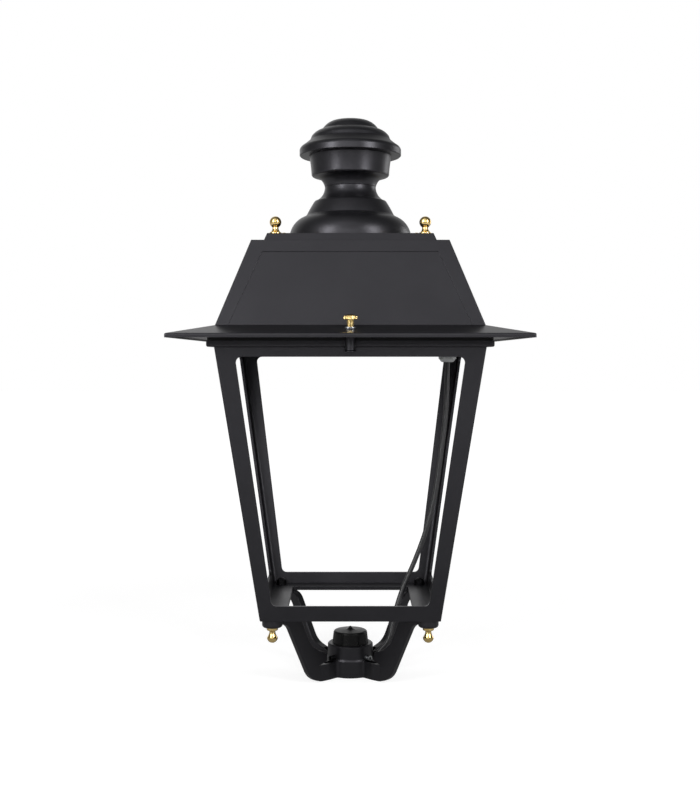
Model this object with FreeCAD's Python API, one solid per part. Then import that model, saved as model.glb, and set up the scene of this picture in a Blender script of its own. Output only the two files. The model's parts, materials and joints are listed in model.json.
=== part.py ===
import FreeCAD, Part
import math
import os
from FreeCAD import Vector as V

"""Four-sided post-top street lantern.

Millimetres, +Z up.  The origin is the centre of the mouth of the post socket,
at the underside of the hub.  The front of the lantern faces -Y: the thumb
screw is there, and the hood is hinged at the back.
"""

os.makedirs("parts", exist_ok=True)

# Running gaps
SLIP = 0.3            # between pieces that only come near each other
HINGE_FIT = 0.1       # radial play of the hinge pins in the hood knuckles

# Length of tools that cut right through a wall or an ear
THROUGH = 60.0

# Post socket and hub of the yoke
SOCKET_R = 30.5       # takes a post spigot of 60 mm
SOCKET_DEPTH = 38.0
HUB_FOOT_R = 35.4
HUB_TOP_R = 33.8
HUB_H = 46.0
STOP_LIP_R = 26.0     # hole in the lip that stops the spigot
HUB_EDGE = 1.5

# Arms of the yoke, drawn in the plane of one diagonal
ARM_T = 12.0
ARM_FOOT_R = 82.6     # where the outer edge would reach the ground line
ARM_LEAN = 0.495      # outward travel of the outer edge per millimetre of height
ARM_HEAD_T = 10.0     # thickness of the arm head, out to the pad
ARM_HEAD_CURVE = 20.0
ARM_FOOT_CURVE = 33.0
ARM_CROWN_CURVE = 20.0
ARM_EDGE = 3.0
ARM_INNER_EDGE = 1.2
# Inner edge of an arm: radius at the crown, radius and height of the elbow,
# radius of its curve, height at the hub.  The arms at the back are slimmer.
FRONT_ARM = (108.4, 84.0, 52.0, 42.0, 32.0)
BACK_ARM = (116.2, 76.6, 35.6, 30.0, 21.0)
SKIRT_T = 15.5        # thicker lower part of each arm, beside the hub
SKIRT_H = 24.0
SKIRT_OUT = 52.0      # it keeps its full width this far out
SKIRT_END = 69.0      # and has narrowed to the arm here
SKIRT_FILLET = 4.0    # where it meets the hub
POCKET_W = 8.5        # open pocket over each set screw
POCKET_OUT = 54.5
POCKET_FLOOR = 12.0
POCKET_NICK = 71.0    # the wedge under the web ends here
POCKET_NICK_H = 4.5

# Pads under the corners of the frame, and their studs
PAD_R = 14.5
PAD_H = 11.6
PAD_EDGE = 4.0
STUD_AT = 110.0       # x and y of each stud
STUD_R = 4.0
STUD_HOLE_R = 4.5

# Socket set screws
SET_R = 4.0
SET_Z = 28.6
SET_OUT = 41.8        # distance of the outer end from the axis of the hub
SET_BACK = 0.5        # the tip stops this far outside the bore
SET_KEY_AF = 4.0
SET_KEY_DEPTH = 4.5

# Rubber plug in the top of the hub
PLUG_FOOT_R = 27.0
PLUG_BODY_R = 25.3
PLUG_RISE = 18.4
PLUG_ROUND = 3.2
PLUG_CONE_R = 8.6
PLUG_TIP = 24.4
PLUG_TIP_R = 1.8

# Frame: a tapered box with four windows
YOKE_RISE = 60.0      # underside of the frame above the top of the hub
FRAME_Z0 = HUB_H + YOKE_RISE
FRAME_H = 381.8
FRAME_BOTTOM = 126.8  # half width at the bottom
FRAME_TOP = 182.4     # half width at the top
WALL = 4.0
FRAME_EDGE = 3.0
POST_TOP = 25.9       # width of the post's face at the top of the window
POST_BOTTOM = 20.2
SILL_H = 22.0
HEAD_H = 12.3
WINDOW_R = 8.0
FLOOR_T = 5.5
FLOOR_OPEN = 91.0     # half width of the opening in the floor
FLOOR_OPEN_R = 5.0

# Collar that the hood rests on
COLLAR_OUT = 9.6      # face of the collar outside the wall of the frame
COLLAR_HALF = FRAME_TOP + COLLAR_OUT
COLLAR_Z = 0.9        # underside above the top of the frame wall
COLLAR_H = 8.6
COLLAR_EDGE = 2.5

# Boss for the thumb screw on the front of the collar
SCREW_Y = COLLAR_HALF + 12.0
BOSS_R = 6.6
BOSS_FOOT_R = 7.8
BOSS_RISE = 5.0       # rim of the boss above the top of the collar
BOSS_CUP = 7.0        # depth of the cup that hides the clip
BOSS_LEN = 20.5
BOSS_BORE_R = 3.45

# Thumb screw
SCREW_R = 3.0
SCREW_HEAD_R = 8.7
SCREW_HEAD_H = 5.6
SCREW_CROWN = 2.0     # rise of the crown on the head
SCREW_NECK_R = 4.8
SCREW_NECK_H = 9.2
SCREW_REACH = 10.0    # below the floor of the cup
SCREW_WASHER_R = 8.2
SCREW_WASHER_T = 1.8
SCREW_SEAT = 0.4      # spot face below the brim at the screw's axis
CLIP_R = 5.2
CLIP_T = 1.0
SCREW_HOLE_R = 3.5

# Gasket between collar and hood
GASKET_OUT = COLLAR_HALF - 1.0
GASKET_IN = COLLAR_HALF - 9.0
GASKET_T = 4.2

# Hood
EAVE_HALF = COLLAR_HALF + 47.8
EAVE_LIP = 5.5
EAVE_CORNER = 2.6
EAVE_EDGE = 2.2       # rounding of the lip's top edge
EAVE_RISE = 11.9      # from the lip to the foot of the roof
ROOF_IN = 10.9        # foot of the roof inside the face of the collar
ROOF_LEAN = 44.8      # how far the faces of the roof lean in
ROOF_FOOT = COLLAR_HALF - ROOF_IN
ROOF_TOP = ROOF_FOOT - ROOF_LEAN
ROOF_H = 117.9
EAVE_LIFT = 3.2       # lip underside above the top of the collar
HOOD_WALL = 3.6
ROOF_EDGE = 2.0
PANEL_INSET = 17.5
PANEL_DEPTH = 0.9
HOOD_VENT_R = 78.0
RIB_OUT = GASKET_OUT - 0.5
RIB_IN = GASKET_IN + 1.0

# Hinge at the back
HINGE_Y = COLLAR_HALF + 14.0
HINGE_Z_BELOW = 7.0   # pin axis below the top of the collar
HINGE_X = 80.0
PIN_R = 3.0
KNUCKLE_R = 7.0
KNUCKLE_W = 14.0
EAR_W = 8.0
PIN_HEAD_R = 5.0
PIN_HEAD_T = 2.0

# Stepped cap plate on top of the roof
CAP_FOOT = 120.5
CAP_TOP = 115.8
CAP_H = 11.4
CAP_WALL = 4.0
CAP_HOLE_R = 74.0
CAP_SCREW_AT = 84.0
BRIDGE_W = 18.0       # bar across the cap that the tie rod is bolted to
BRIDGE_T = 5.0

# Chimney: radii, and heights above the foot of each casting
BELL_FOOT_R = 91.0
BELL_STEP_R = 64.9    # lower bulge ends here
BELL_STEP_Z = 38.0
BELL_SHOULDER_R = 54.4
BELL_SHOULDER_Z = 56.6
NECK_R = 37.8
BELL_H = 79.6
DRUM_H = 45.5
DRUM_COVE_R = 54.4    # outer end of the cove under the drum
DRUM_COVE_Z = 15.2
DRUM_FOOT_R = 57.6
DRUM_FOOT_Z = 19.2
DRUM_TOP_R = 61.0
RIM_R = 75.2
RIM_H = 10.5
RING_R = 59.2         # foot and top of the two rings on the cap
RING_Z = 24.6
RING_TOP_R = 43.4
RING_TOP_Z = 38.4
DOME_H = 54.8
DOME_EDGE_R = 26.5
DOME_EDGE_DROP = 3.2
CHIMNEY_WALL = 3.5
TIE_R = 4.0
BOSS_DROP = 16.0      # foot of the boss in the dome, above the rim's underside
TIE_GRIP = 22.0       # length of the tie rod in that boss

# Brass finials
BALL_R = 8.2
TOP_FINIAL_H = 24.3
TOP_FINIAL_FOOT_R = 8.4
TOP_FINIAL_NECK_R = 4.2
TOP_FINIAL_AT = 104.6
TOP_STUD_R = 2.4
TOP_STUD_LEN = 9.0
PEAR_R = 7.6
PEAR_H = 22.2
COLLAR_FINIAL_R = 7.9

# Nuts and washers
NUT_AF = 13.0
NUT_H = 6.5
CAP_NUT_H = 9.5       # closed nuts on the studs in the frame
CAP_NUT_DOME = 3.2
STUD_GRIP = 6.5       # length of the stud inside the closed nut
WASHER_R = 8.5
WASHER_T = 1.6
NUT_M5_AF = 8.0
NUT_M5_H = 4.0

# Gear tray and what it carries
TRAY_HALF = 173.5
TRAY_T = 2.0
TRAY_DROP = 16.0      # underside of the tray below the top of the collar
TRAY_CORNER = 12.0
TRAY_SCREW_AT = FRAME_TOP - 22.4
TRAY_SCREW_R = 2.5
LUG_LEG = 50.0
LUG_T = 4.0
LIGHT_R = 62.0
LENS_DROP = 4.3
HEATSINK_R = 84.0
HEATSINK_H = 34.0
FIN_COUNT = 17
FIN_T = 2.2
BOARD_T = 1.6
CHIP_COUNT = 12
DRIVER = (64.0, 128.0, 32.0)
TERMINAL = (22.0, 54.0, 17.0)

# Cable and its gland
CABLE_R = 3.75
GLAND_AT = (150.0, 60.0)
GLAND_AF = 24.0
GLAND_THREAD_R = 9.8
GLAND_BODY_H = 4.0
GLAND_NUT_H = 10.0
LOCKNUT_AF = 27.0
LOCKNUT_H = 5.0
ENTRY_TILT = 42.0     # the entry in the hub points up by this angle
ENTRY_Z = 22.0
ENTRY_R = 5.5
ENTRY_SLEEVE_R = 6.8
ENTRY_REACH = 11.0
ENTRY_RUN = 14.0      # straight run of the cable into the entry

# Heights that follow from the sizes above
FRAME_Z1 = FRAME_Z0 + FRAME_H
COLLAR_Z0 = FRAME_Z1 + COLLAR_Z
COLLAR_Z1 = COLLAR_Z0 + COLLAR_H
TRAY_Z0 = COLLAR_Z1 - TRAY_DROP
TRAY_Z1 = TRAY_Z0 + TRAY_T
EAVE_Z0 = COLLAR_Z1 + EAVE_LIFT
EAVE_Z1 = EAVE_Z0 + EAVE_LIP
ROOF_Z0 = EAVE_Z1 + EAVE_RISE
ROOF_Z1 = ROOF_Z0 + ROOF_H
CAP_Z1 = ROOF_Z1 + CAP_H
NECK_Z = CAP_Z1 + BELL_H
DRUM_Z1 = NECK_Z + DRUM_H
DOME_Z1 = DRUM_Z1 + DOME_H
HINGE_Z = COLLAR_Z1 - HINGE_Z_BELOW
BOSS_Z1 = COLLAR_Z1 + BOSS_RISE
BOSS_SEAT = BOSS_Z1 - BOSS_CUP
WINDOW_Z0 = FRAME_Z0 + SILL_H
WINDOW_Z1 = FRAME_Z1 - HEAD_H
CORNERS = {
    "front_left": (-1, -1),
    "front_right": (1, -1),
    "back_left": (-1, 1),
    "back_right": (1, 1),
}

UP = V(0, 0, 1)


def export(shape, node):
    """Write one node as a STEP file."""
    shape.exportStep("parts/" + node + ".step")
    print(node, len(shape.Solids), round(shape.Volume), shape.isValid())


def cylinder(r, h, at=V(0, 0, 0), axis=UP):
    return Part.makeCylinder(r, h, at, axis)


def box(x0, x1, y0, y1, z0, z1):
    return Part.makeBox(x1 - x0, y1 - y0, z1 - z0, V(x0, y0, z0))


def hexagon(across_flats, h, at=V(0, 0, 0), axis=UP):
    """Hexagonal prism standing on a point."""
    r = across_flats / math.sqrt(3)
    corners = [V(r * math.cos(math.radians(60 * i)), r * math.sin(math.radians(60 * i)), 0)
               for i in range(7)]
    prism = Part.Face(Part.makePolygon(corners)).extrude(V(0, 0, h))
    prism.Placement = FreeCAD.Placement(at, FreeCAD.Rotation(UP, axis))
    return prism


def square_wire(half, z, corner):
    """Square outline with rounded corners, at height z."""
    inner = half - corner
    edges = []
    for i in range(4):
        a = math.radians(90 * i)
        turn = FreeCAD.Rotation(UP, 90 * i)
        start = turn.multVec(V(half, -inner, z))
        end = turn.multVec(V(half, inner, z))
        edges.append(Part.makeLine(start, end))
        middle = turn.multVec(V(inner + corner * math.cos(math.pi / 4),
                                inner + corner * math.sin(math.pi / 4), z))
        last = turn.multVec(V(inner, half, z))
        edges.append(Part.Arc(end, middle, last).toShape())
    return Part.Wire(edges)


def frustum(half0, z0, half1, z1, corner0, corner1=None):
    """Square block whose half width changes from half0 to half1."""
    corner1 = corner0 if corner1 is None else corner1
    return Part.makeLoft([square_wire(half0, z0, corner0),
                          square_wire(half1, z1, corner1)], True, True)


def outline(points, closed=True):
    """Wire in the x-z plane.  A point is (x, z), or (x, z, xm, zm) for an arc
    that passes through (xm, zm) on its way there."""
    edges = []
    here = V(points[0][0], 0, points[0][1])
    for p in points[1:]:
        there = V(p[0], 0, p[1])
        if len(p) == 4:
            edges.append(Part.Arc(here, V(p[2], 0, p[3]), there).toShape())
        else:
            edges.append(Part.makeLine(here, there))
        here = there
    first = V(points[0][0], 0, points[0][1])
    if closed and here.distanceToPoint(first) > 1e-6:
        edges.append(Part.makeLine(here, first))
    return Part.Wire(edges)


def dome(r, z_edge, z_top):
    """End of an outline: a ball-shaped dome from radius r up to the axis."""
    rise = z_top - z_edge
    ball = (r * r + rise * rise) / (2 * rise)
    half_way = math.asin(r / abs(ball)) / 2
    return (0, z_top, abs(ball) * math.sin(half_way),
            z_top - ball * (1 - math.cos(half_way)))


def turned(points, at=V(0, 0, 0)):
    """Solid of revolution about the vertical through a point."""
    face = Part.Face(outline(points))
    solid = face.revolve(V(0, 0, 0), UP, 360)
    solid.translate(at)
    return solid


def profile(z, steps):
    """Outline points from steps of (radius, height above z).  A third number
    bows the line to that step outward by so much, which makes it an arc."""
    points = [(steps[0][0], z + steps[0][1])]
    for step in steps[1:]:
        r0, z0 = points[-1][:2]
        r1, z1 = step[0], z + step[1]
        if len(step) == 2:
            points.append((r1, z1))
            continue
        share = step[2] / math.hypot(r1 - r0, z1 - z0)
        points.append((r1, z1, (r0 + r1) / 2 + (z1 - z0) * share,
                       (z0 + z1) / 2 - (r1 - r0) * share))
    return points


def rounded(points, radii):
    """Closed wire through points in the x-z plane, with its corners rounded.
    A radius of 0 leaves the corner sharp."""
    count = len(points)
    edges = []
    ends = []
    for i in range(count):
        p = V(points[i][0], 0, points[i][1])
        before = V(points[i - 1][0], 0, points[i - 1][1]) - p
        after = V(points[(i + 1) % count][0], 0, points[(i + 1) % count][1]) - p
        if radii[i] <= 0:
            ends.append((p, None, p))
            continue
        half_angle = before.getAngle(after) / 2
        cut = radii[i] / math.tan(half_angle)
        a = p + before.normalize() * cut
        b = p + after.normalize() * cut
        middle_way = (before + after).normalize()
        to_centre = radii[i] / math.sin(half_angle)
        m = p + middle_way * (to_centre - radii[i])
        ends.append((a, m, b))
    for i in range(count):
        a, m, b = ends[i]
        if m is not None:
            edges.append(Part.Arc(a, m, b).toShape())
        nxt = ends[(i + 1) % count][0]
        if b.distanceToPoint(nxt) > 1e-6:
            edges.append(Part.makeLine(b, nxt))
    return Part.Wire(edges)


def at_corners(shape):
    """The same shape turned to each of the four corners."""
    copies = []
    for i in range(4):
        copy = shape.copy()
        copy.rotate(V(0, 0, 0), UP, 90 * i)
        copies.append(copy)
    return copies


def fuse(shapes):
    result = shapes[0]
    if len(shapes) > 1:
        result = shapes[0].multiFuse(shapes[1:])
    return result.removeSplitter()


def group(shapes):
    return Part.makeCompound(shapes)


def frame_half(z):
    """Half width of the outside of the frame at height z."""
    share = (z - FRAME_Z0) / FRAME_H
    return FRAME_BOTTOM + (FRAME_TOP - FRAME_BOTTOM) * share


def entry_axis():
    tilt = math.radians(ENTRY_TILT)
    return V(math.cos(tilt), 0, math.sin(tilt))


def entry_seat():
    """Where the axis of the cable entry crosses the middle of the hub wall."""
    return V((SOCKET_R + HUB_FOOT_R) / 2, 0, ENTRY_Z)


def edges_along(web, inner):
    """Long side edges of an arm, on its inner or its outer side."""
    found = []
    for edge in web.Edges:
        mid = edge.CenterOfMass
        on_side = abs(abs(mid.y) - ARM_T / 2) < 0.01
        out_z = (mid.x - ARM_FOOT_R) / ARM_LEAN
        is_inner = mid.z > out_z + ARM_T
        if on_side and edge.Length > ARM_EDGE and is_inner == inner:
            found.append(edge)
    return found


def make_arm(inner_edge):
    """One arm of the yoke along the +x +y diagonal, from the hub to the pad."""
    crown_r, elbow_r, elbow_z, elbow_curve, root_z = inner_edge
    root = SOCKET_R + 2.0
    head_z = FRAME_Z0 - ARM_HEAD_T
    pad_at = math.hypot(STUD_AT, STUD_AT)
    points = [
        (root, 0),
        (ARM_FOOT_R, 0),
        (ARM_FOOT_R + head_z * ARM_LEAN, head_z),
        (pad_at, head_z),
        (pad_at, FRAME_Z0),
        (crown_r, FRAME_Z0),
        (elbow_r, elbow_z),
        (root, root_z),
    ]
    radii = [0, ARM_FOOT_CURVE, ARM_HEAD_CURVE, 0, 0, ARM_CROWN_CURVE, elbow_curve, 0]
    side = Part.Face(rounded(points, radii))
    web = side.extrude(V(0, ARM_T, 0))
    web.translate(V(0, -ARM_T / 2, 0))
    low = [e for e in edges_along(web, False)
           if e.CenterOfMass.x > SKIRT_END and e.CenterOfMass.z < head_z - 0.1]
    web = web.makeFillet(ARM_EDGE, low)
    high = [e for e in edges_along(web, True)
            if POCKET_OUT < e.CenterOfMass.x < crown_r and e.CenterOfMass.z < FRAME_Z0 - 0.1]
    web = web.makeFillet(ARM_INNER_EDGE, high)
    if root_z > SKIRT_H:
        nick = Part.Face(outline([(root - 1.0, SKIRT_H), (POCKET_NICK, SKIRT_H),
                                  (POCKET_OUT, SKIRT_H + POCKET_NICK_H), (POCKET_OUT, FRAME_Z0),
                                  (root - 1.0, FRAME_Z0)])).extrude(V(0, ARM_T * 2, 0))
        nick.translate(V(0, -ARM_T, 0))
        web = web.cut(nick)
    plan = [
        V(root, -SKIRT_T / 2, 0), V(SKIRT_OUT, -SKIRT_T / 2, 0),
        V(SKIRT_END, -ARM_T / 2 + SLIP, 0), V(SKIRT_END, ARM_T / 2 - SLIP, 0),
        V(SKIRT_OUT, SKIRT_T / 2, 0), V(root, SKIRT_T / 2, 0), V(root, -SKIRT_T / 2, 0),
    ]
    foot_side = Part.Face(rounded([(root, 0), (ARM_FOOT_R, 0),
                                   (ARM_FOOT_R + SKIRT_H * 2 * ARM_LEAN, SKIRT_H * 2),
                                   (root, SKIRT_H * 2)], [0, ARM_FOOT_CURVE, 0, 0]))
    wide = foot_side.extrude(V(0, SKIRT_T, 0))
    wide.translate(V(0, -SKIRT_T / 2, 0))
    skirt = Part.Face(Part.makePolygon(plan)).extrude(V(0, 0, SKIRT_H)).common(wide)
    arm = web.fuse(skirt)
    arm = arm.cut(box(HUB_FOOT_R - 1.0, POCKET_OUT, -POCKET_W / 2, POCKET_W / 2,
                      POCKET_FLOOR, FRAME_Z0))
    return arm.removeSplitter()


def make_pad():
    pad = turned([
        (0, -PAD_H), (PAD_R - PAD_EDGE, -PAD_H),
        (PAD_R, -PAD_H + PAD_EDGE, PAD_R - PAD_EDGE * 0.29, -PAD_H + PAD_EDGE * 0.29),
        (PAD_R, 0), (0, 0),
    ], V(math.hypot(STUD_AT, STUD_AT), 0, FRAME_Z0))
    return pad


def make_yoke():
    """Cast hub with four arms that carry the frame."""
    hub = turned([
        (0, 0), (HUB_FOOT_R, 0), (HUB_FOOT_R, SKIRT_H), (HUB_TOP_R + 0.6, SKIRT_H + 3.0),
        (HUB_TOP_R, HUB_H - HUB_EDGE), (HUB_TOP_R - HUB_EDGE, HUB_H), (0, HUB_H),
    ])
    arms = []
    for (sx, sy) in CORNERS.values():
        arm = fuse([make_arm(FRONT_ARM if sy < 0 else BACK_ARM), make_pad()])
        arm.rotate(V(0, 0, 0), UP, math.degrees(math.atan2(sy, sx)))
        arms.append(arm)
    yoke = fuse([hub] + arms)
    corner_edges = [e for e in yoke.Edges
                    if abs(math.hypot(e.CenterOfMass.x, e.CenterOfMass.y) - HUB_FOOT_R) < 0.2
                    and abs(e.CenterOfMass.z - SKIRT_H / 2) < 1.0
                    and abs(e.tangentAt(e.FirstParameter).z) > 0.9]
    yoke = yoke.makeFillet(SKIRT_FILLET, corner_edges)
    yoke = yoke.cut(cylinder(SOCKET_R, SOCKET_DEPTH))
    yoke = yoke.cut(cylinder(STOP_LIP_R, HUB_H))
    tools = []
    for sx, sy in CORNERS.values():
        tools.append(cylinder(STUD_HOLE_R, FRAME_Z0, V(sx * STUD_AT, sy * STUD_AT, 0)))
        way = V(sx, sy, 0).normalize()
        tools.append(cylinder(SET_R, HUB_FOOT_R, way * SOCKET_R * 0.9 + V(0, 0, SET_Z), way)
                     .common(cylinder(HUB_FOOT_R + 1.0, HUB_H)))
    seat = entry_seat()
    tools.append(cylinder(ENTRY_R, ENTRY_REACH * 2, seat - entry_axis() * ENTRY_REACH,
                          entry_axis()))
    return yoke.cut(group(tools)).removeSplitter()


def make_set_screws(corners):
    """Socket set screws in the pockets of the arms at these corners."""
    screws = []
    length = SET_OUT - SOCKET_R - SET_BACK
    for name in corners:
        sx, sy = CORNERS[name]
        way = V(sx, sy, 0).normalize()
        start = way * (SOCKET_R + SET_BACK) + V(0, 0, SET_Z)
        screw = cylinder(SET_R, length, start, way)
        key_foot = start + way * (length - SET_KEY_DEPTH)
        screws.append(screw.cut(hexagon(SET_KEY_AF, SET_KEY_DEPTH, key_foot, way)))
    return group(screws)


def make_plug():
    """Rubber plug with a low cone that can be cut off to let a cable through."""
    neck_r = STOP_LIP_R - SLIP
    top = HUB_H + PLUG_RISE
    tip = HUB_H + PLUG_TIP
    k = PLUG_ROUND * (1 - math.sqrt(0.5))
    return turned([
        (0, SOCKET_DEPTH + SLIP), (neck_r, SOCKET_DEPTH + SLIP), (neck_r, HUB_H),
        (PLUG_FOOT_R, HUB_H), (PLUG_BODY_R, top - PLUG_ROUND),
        (PLUG_BODY_R - PLUG_ROUND, top, PLUG_BODY_R - k, top - k),
        (PLUG_CONE_R, top + 0.8),
        (PLUG_TIP_R, tip - 0.6, PLUG_CONE_R * 0.45, top + 2.4),
        dome(PLUG_TIP_R, tip - 0.6, tip),
    ])


def make_entry_bush():
    """Rubber bush that the cable enters the hub through."""
    seat = entry_seat()
    axis = entry_axis()
    inside = (SOCKET_R + HUB_FOOT_R) / 2 - SOCKET_R
    plug = cylinder(ENTRY_R - SLIP, ENTRY_REACH + 4.0, seat - axis * 4.0, axis)
    sleeve = Part.makeCone(ENTRY_SLEEVE_R, CABLE_R + 1.4, ENTRY_REACH - 3.0,
                           seat + axis * 3.0, axis)
    bush = plug.fuse(sleeve)
    bush = bush.cut(cylinder(HUB_FOOT_R + SLIP, HUB_H).cut(
        cylinder(ENTRY_R - SLIP, THROUGH, seat - axis * THROUGH / 2, axis)))
    return bush.cut(cylinder(SOCKET_R + inside * 0.2, HUB_H)).removeSplitter()


def make_window(width0, width1):
    """Tool that cuts the front window, drawn in the x-z plane."""
    points = [(-width0, WINDOW_Z0), (width0, WINDOW_Z0), (width1, WINDOW_Z1),
              (-width1, WINDOW_Z1)]
    tool = Part.Face(rounded(points, [WINDOW_R] * 4)).extrude(V(0, EAVE_HALF, 0))
    tool.translate(V(0, -EAVE_HALF - WALL, 0))
    return tool


def make_ears():
    """Ears on the back of the collar for the two hinge pins."""
    ears = []
    for side in (-1, 1):
        for end in (-1, 1):
            x = side * HINGE_X + end * (KNUCKLE_W / 2 + SLIP + EAR_W / 2)
            ear = cylinder(KNUCKLE_R, EAR_W, V(x - EAR_W / 2, HINGE_Y, HINGE_Z), V(1, 0, 0))
            web = box(x - EAR_W / 2, x + EAR_W / 2, COLLAR_HALF - 1.0, HINGE_Y,
                      COLLAR_Z0 + 0.2, HINGE_Z + KNUCKLE_R)
            ears.append(ear.fuse(web))
    return ears


def make_boss():
    """Boss on the front of the collar that takes the thumb screw."""
    foot = BOSS_Z1 - BOSS_LEN
    post = turned(profile(foot, [
        (0, 0), (BOSS_FOOT_R, 0), (BOSS_FOOT_R, 1.2), (BOSS_R, 4.5, -0.4),
        (BOSS_R, BOSS_LEN), (0, BOSS_LEN),
    ]), V(0, -SCREW_Y, 0))
    web = box(-BOSS_R, BOSS_R, -SCREW_Y, -COLLAR_HALF + COLLAR_EDGE + 1.0,
              COLLAR_Z0 + COLLAR_EDGE, COLLAR_Z1)
    foot_web = box(-BOSS_R, BOSS_R, -SCREW_Y, -FRAME_TOP + WALL / 2, foot,
                   COLLAR_Z0 + COLLAR_EDGE)
    return post.fuse([web, foot_web])


def make_frame():
    """Cast frame: tapered box, four windows, floor, collar, ears and boss."""
    outer = frustum(FRAME_BOTTOM, FRAME_Z0, FRAME_TOP, FRAME_Z1, FRAME_EDGE)
    inner = frustum(FRAME_BOTTOM - WALL, FRAME_Z0, FRAME_TOP - WALL, FRAME_Z1,
                    FRAME_EDGE + 3.0)
    grow = 3.0
    step = (FRAME_TOP - FRAME_BOTTOM) / FRAME_H * grow
    below = frustum(FRAME_BOTTOM - WALL - step, FRAME_Z0 - grow, FRAME_BOTTOM - WALL,
                    FRAME_Z0, FRAME_EDGE + 3.0)
    floor = frustum(FRAME_BOTTOM - WALL / 2, FRAME_Z0, FRAME_BOTTOM - WALL / 2,
                    FRAME_Z0 + FLOOR_T, FRAME_EDGE)
    collar = frustum(COLLAR_HALF, COLLAR_Z0, COLLAR_HALF, COLLAR_Z1, FRAME_EDGE + 1.0)
    low_edges = [e for e in collar.Edges
                 if abs(e.CenterOfMass.z - COLLAR_Z0) < 0.01 and e.Length > 1.0]
    collar = collar.makeFillet(COLLAR_EDGE, low_edges)
    neck = frustum(FRAME_TOP, FRAME_Z1, FRAME_TOP, COLLAR_Z1, FRAME_EDGE)
    body = outer.fuse([neck, collar])
    body = body.cut(inner.fuse(below))
    throat = FRAME_TOP - WALL
    body = body.cut(frustum(throat, FRAME_Z1, throat, COLLAR_Z1 + 1.0, FRAME_EDGE + 3.0))
    sill = frame_half(WINDOW_Z0) - POST_BOTTOM
    head = frame_half(WINDOW_Z1) - POST_TOP
    body = body.cut(group(at_corners(make_window(sill, head))))
    body = body.fuse(floor)
    body = body.cut(frustum(FLOOR_OPEN, FRAME_Z0 - 1.0, FLOOR_OPEN,
                            FRAME_Z0 + FLOOR_T + 1.0, FLOOR_OPEN_R))
    body = body.fuse(make_ears() + [make_boss()] + make_lugs())
    tools = [cylinder(BOSS_BORE_R, BOSS_LEN, V(0, -SCREW_Y, BOSS_Z1 - BOSS_LEN)),
             cylinder(CLIP_R + SLIP, BOSS_CUP + 1.0, V(0, -SCREW_Y, BOSS_SEAT))]
    for side in (-1, 1):
        tools.append(cylinder(PIN_R, THROUGH,
                              V(side * HINGE_X - THROUGH / 2, HINGE_Y, HINGE_Z), V(1, 0, 0)))
    for sx, sy in CORNERS.values():
        tools.append(cylinder(STUD_HOLE_R, 20.0, V(sx * STUD_AT, sy * STUD_AT, FRAME_Z0 - 1)))
        tools.append(cylinder(TRAY_SCREW_R, 10.0, V(sx * TRAY_SCREW_AT, sy * TRAY_SCREW_AT,
                                                    TRAY_Z0 - LUG_T - 1.0)))
    return body.cut(group(tools)).removeSplitter()


def make_lugs():
    """Triangular lugs in the corners of the frame, under the gear tray."""
    lugs = []
    z0 = TRAY_Z0 - LUG_T
    reach = frame_half(z0) - WALL / 2
    corner = [V(reach, reach, z0), V(reach - LUG_LEG, reach, z0),
              V(reach, reach - LUG_LEG, z0), V(reach, reach, z0)]
    lug = Part.Face(Part.makePolygon(corner)).extrude(V(0, 0, LUG_T))
    return at_corners(lug)


def make_gasket():
    ring = frustum(GASKET_OUT, COLLAR_Z1, GASKET_OUT, COLLAR_Z1 + GASKET_T, 5.0)
    return ring.cut(frustum(GASKET_IN, COLLAR_Z1 - 1, GASKET_IN,
                            COLLAR_Z1 + GASKET_T + 1, 3.0))


def make_panel_recess():
    """Tool that sinks the large panel of the front face of the roof."""
    lean = math.atan2(ROOF_FOOT - ROOF_TOP, ROOF_H)
    face_h = math.hypot(ROOF_FOOT - ROOF_TOP, ROOF_H)
    low = ROOF_FOOT - PANEL_INSET
    high = ROOF_TOP - PANEL_INSET * 0.9
    foot = PANEL_DEPTH / 3
    points = [(-low, foot), (low, foot), (high, face_h - PANEL_INSET),
              (-high, face_h - PANEL_INSET)]
    tool = Part.Face(rounded(points, [0, 0, 3.0, 3.0])).extrude(V(0, -10.0, 0))
    tool.translate(V(0, PANEL_DEPTH, 0))
    tool.rotate(V(0, 0, 0), V(1, 0, 0), -math.degrees(lean))
    tool.translate(V(0, -ROOF_FOOT, ROOF_Z0))
    return tool


def make_knuckles():
    """Knuckles under the back of the eave that turn on the hinge pins."""
    top = brim_top(HINGE_Y + KNUCKLE_R) - 0.5
    knuckles = []
    for side in (-1, 1):
        x0 = side * HINGE_X - KNUCKLE_W / 2
        x1 = x0 + KNUCKLE_W
        barrel = cylinder(KNUCKLE_R, KNUCKLE_W, V(x0, HINGE_Y, HINGE_Z), V(1, 0, 0))
        web = box(x0, x1, HINGE_Y - KNUCKLE_R * 0.2, HINGE_Y + KNUCKLE_R, HINGE_Z, top)
        knuckles.append(barrel.fuse(web))
    return knuckles


def make_brim():
    return frustum(EAVE_HALF, EAVE_Z1, ROOF_FOOT, ROOF_Z0, EAVE_CORNER, ROOF_EDGE)


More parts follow.
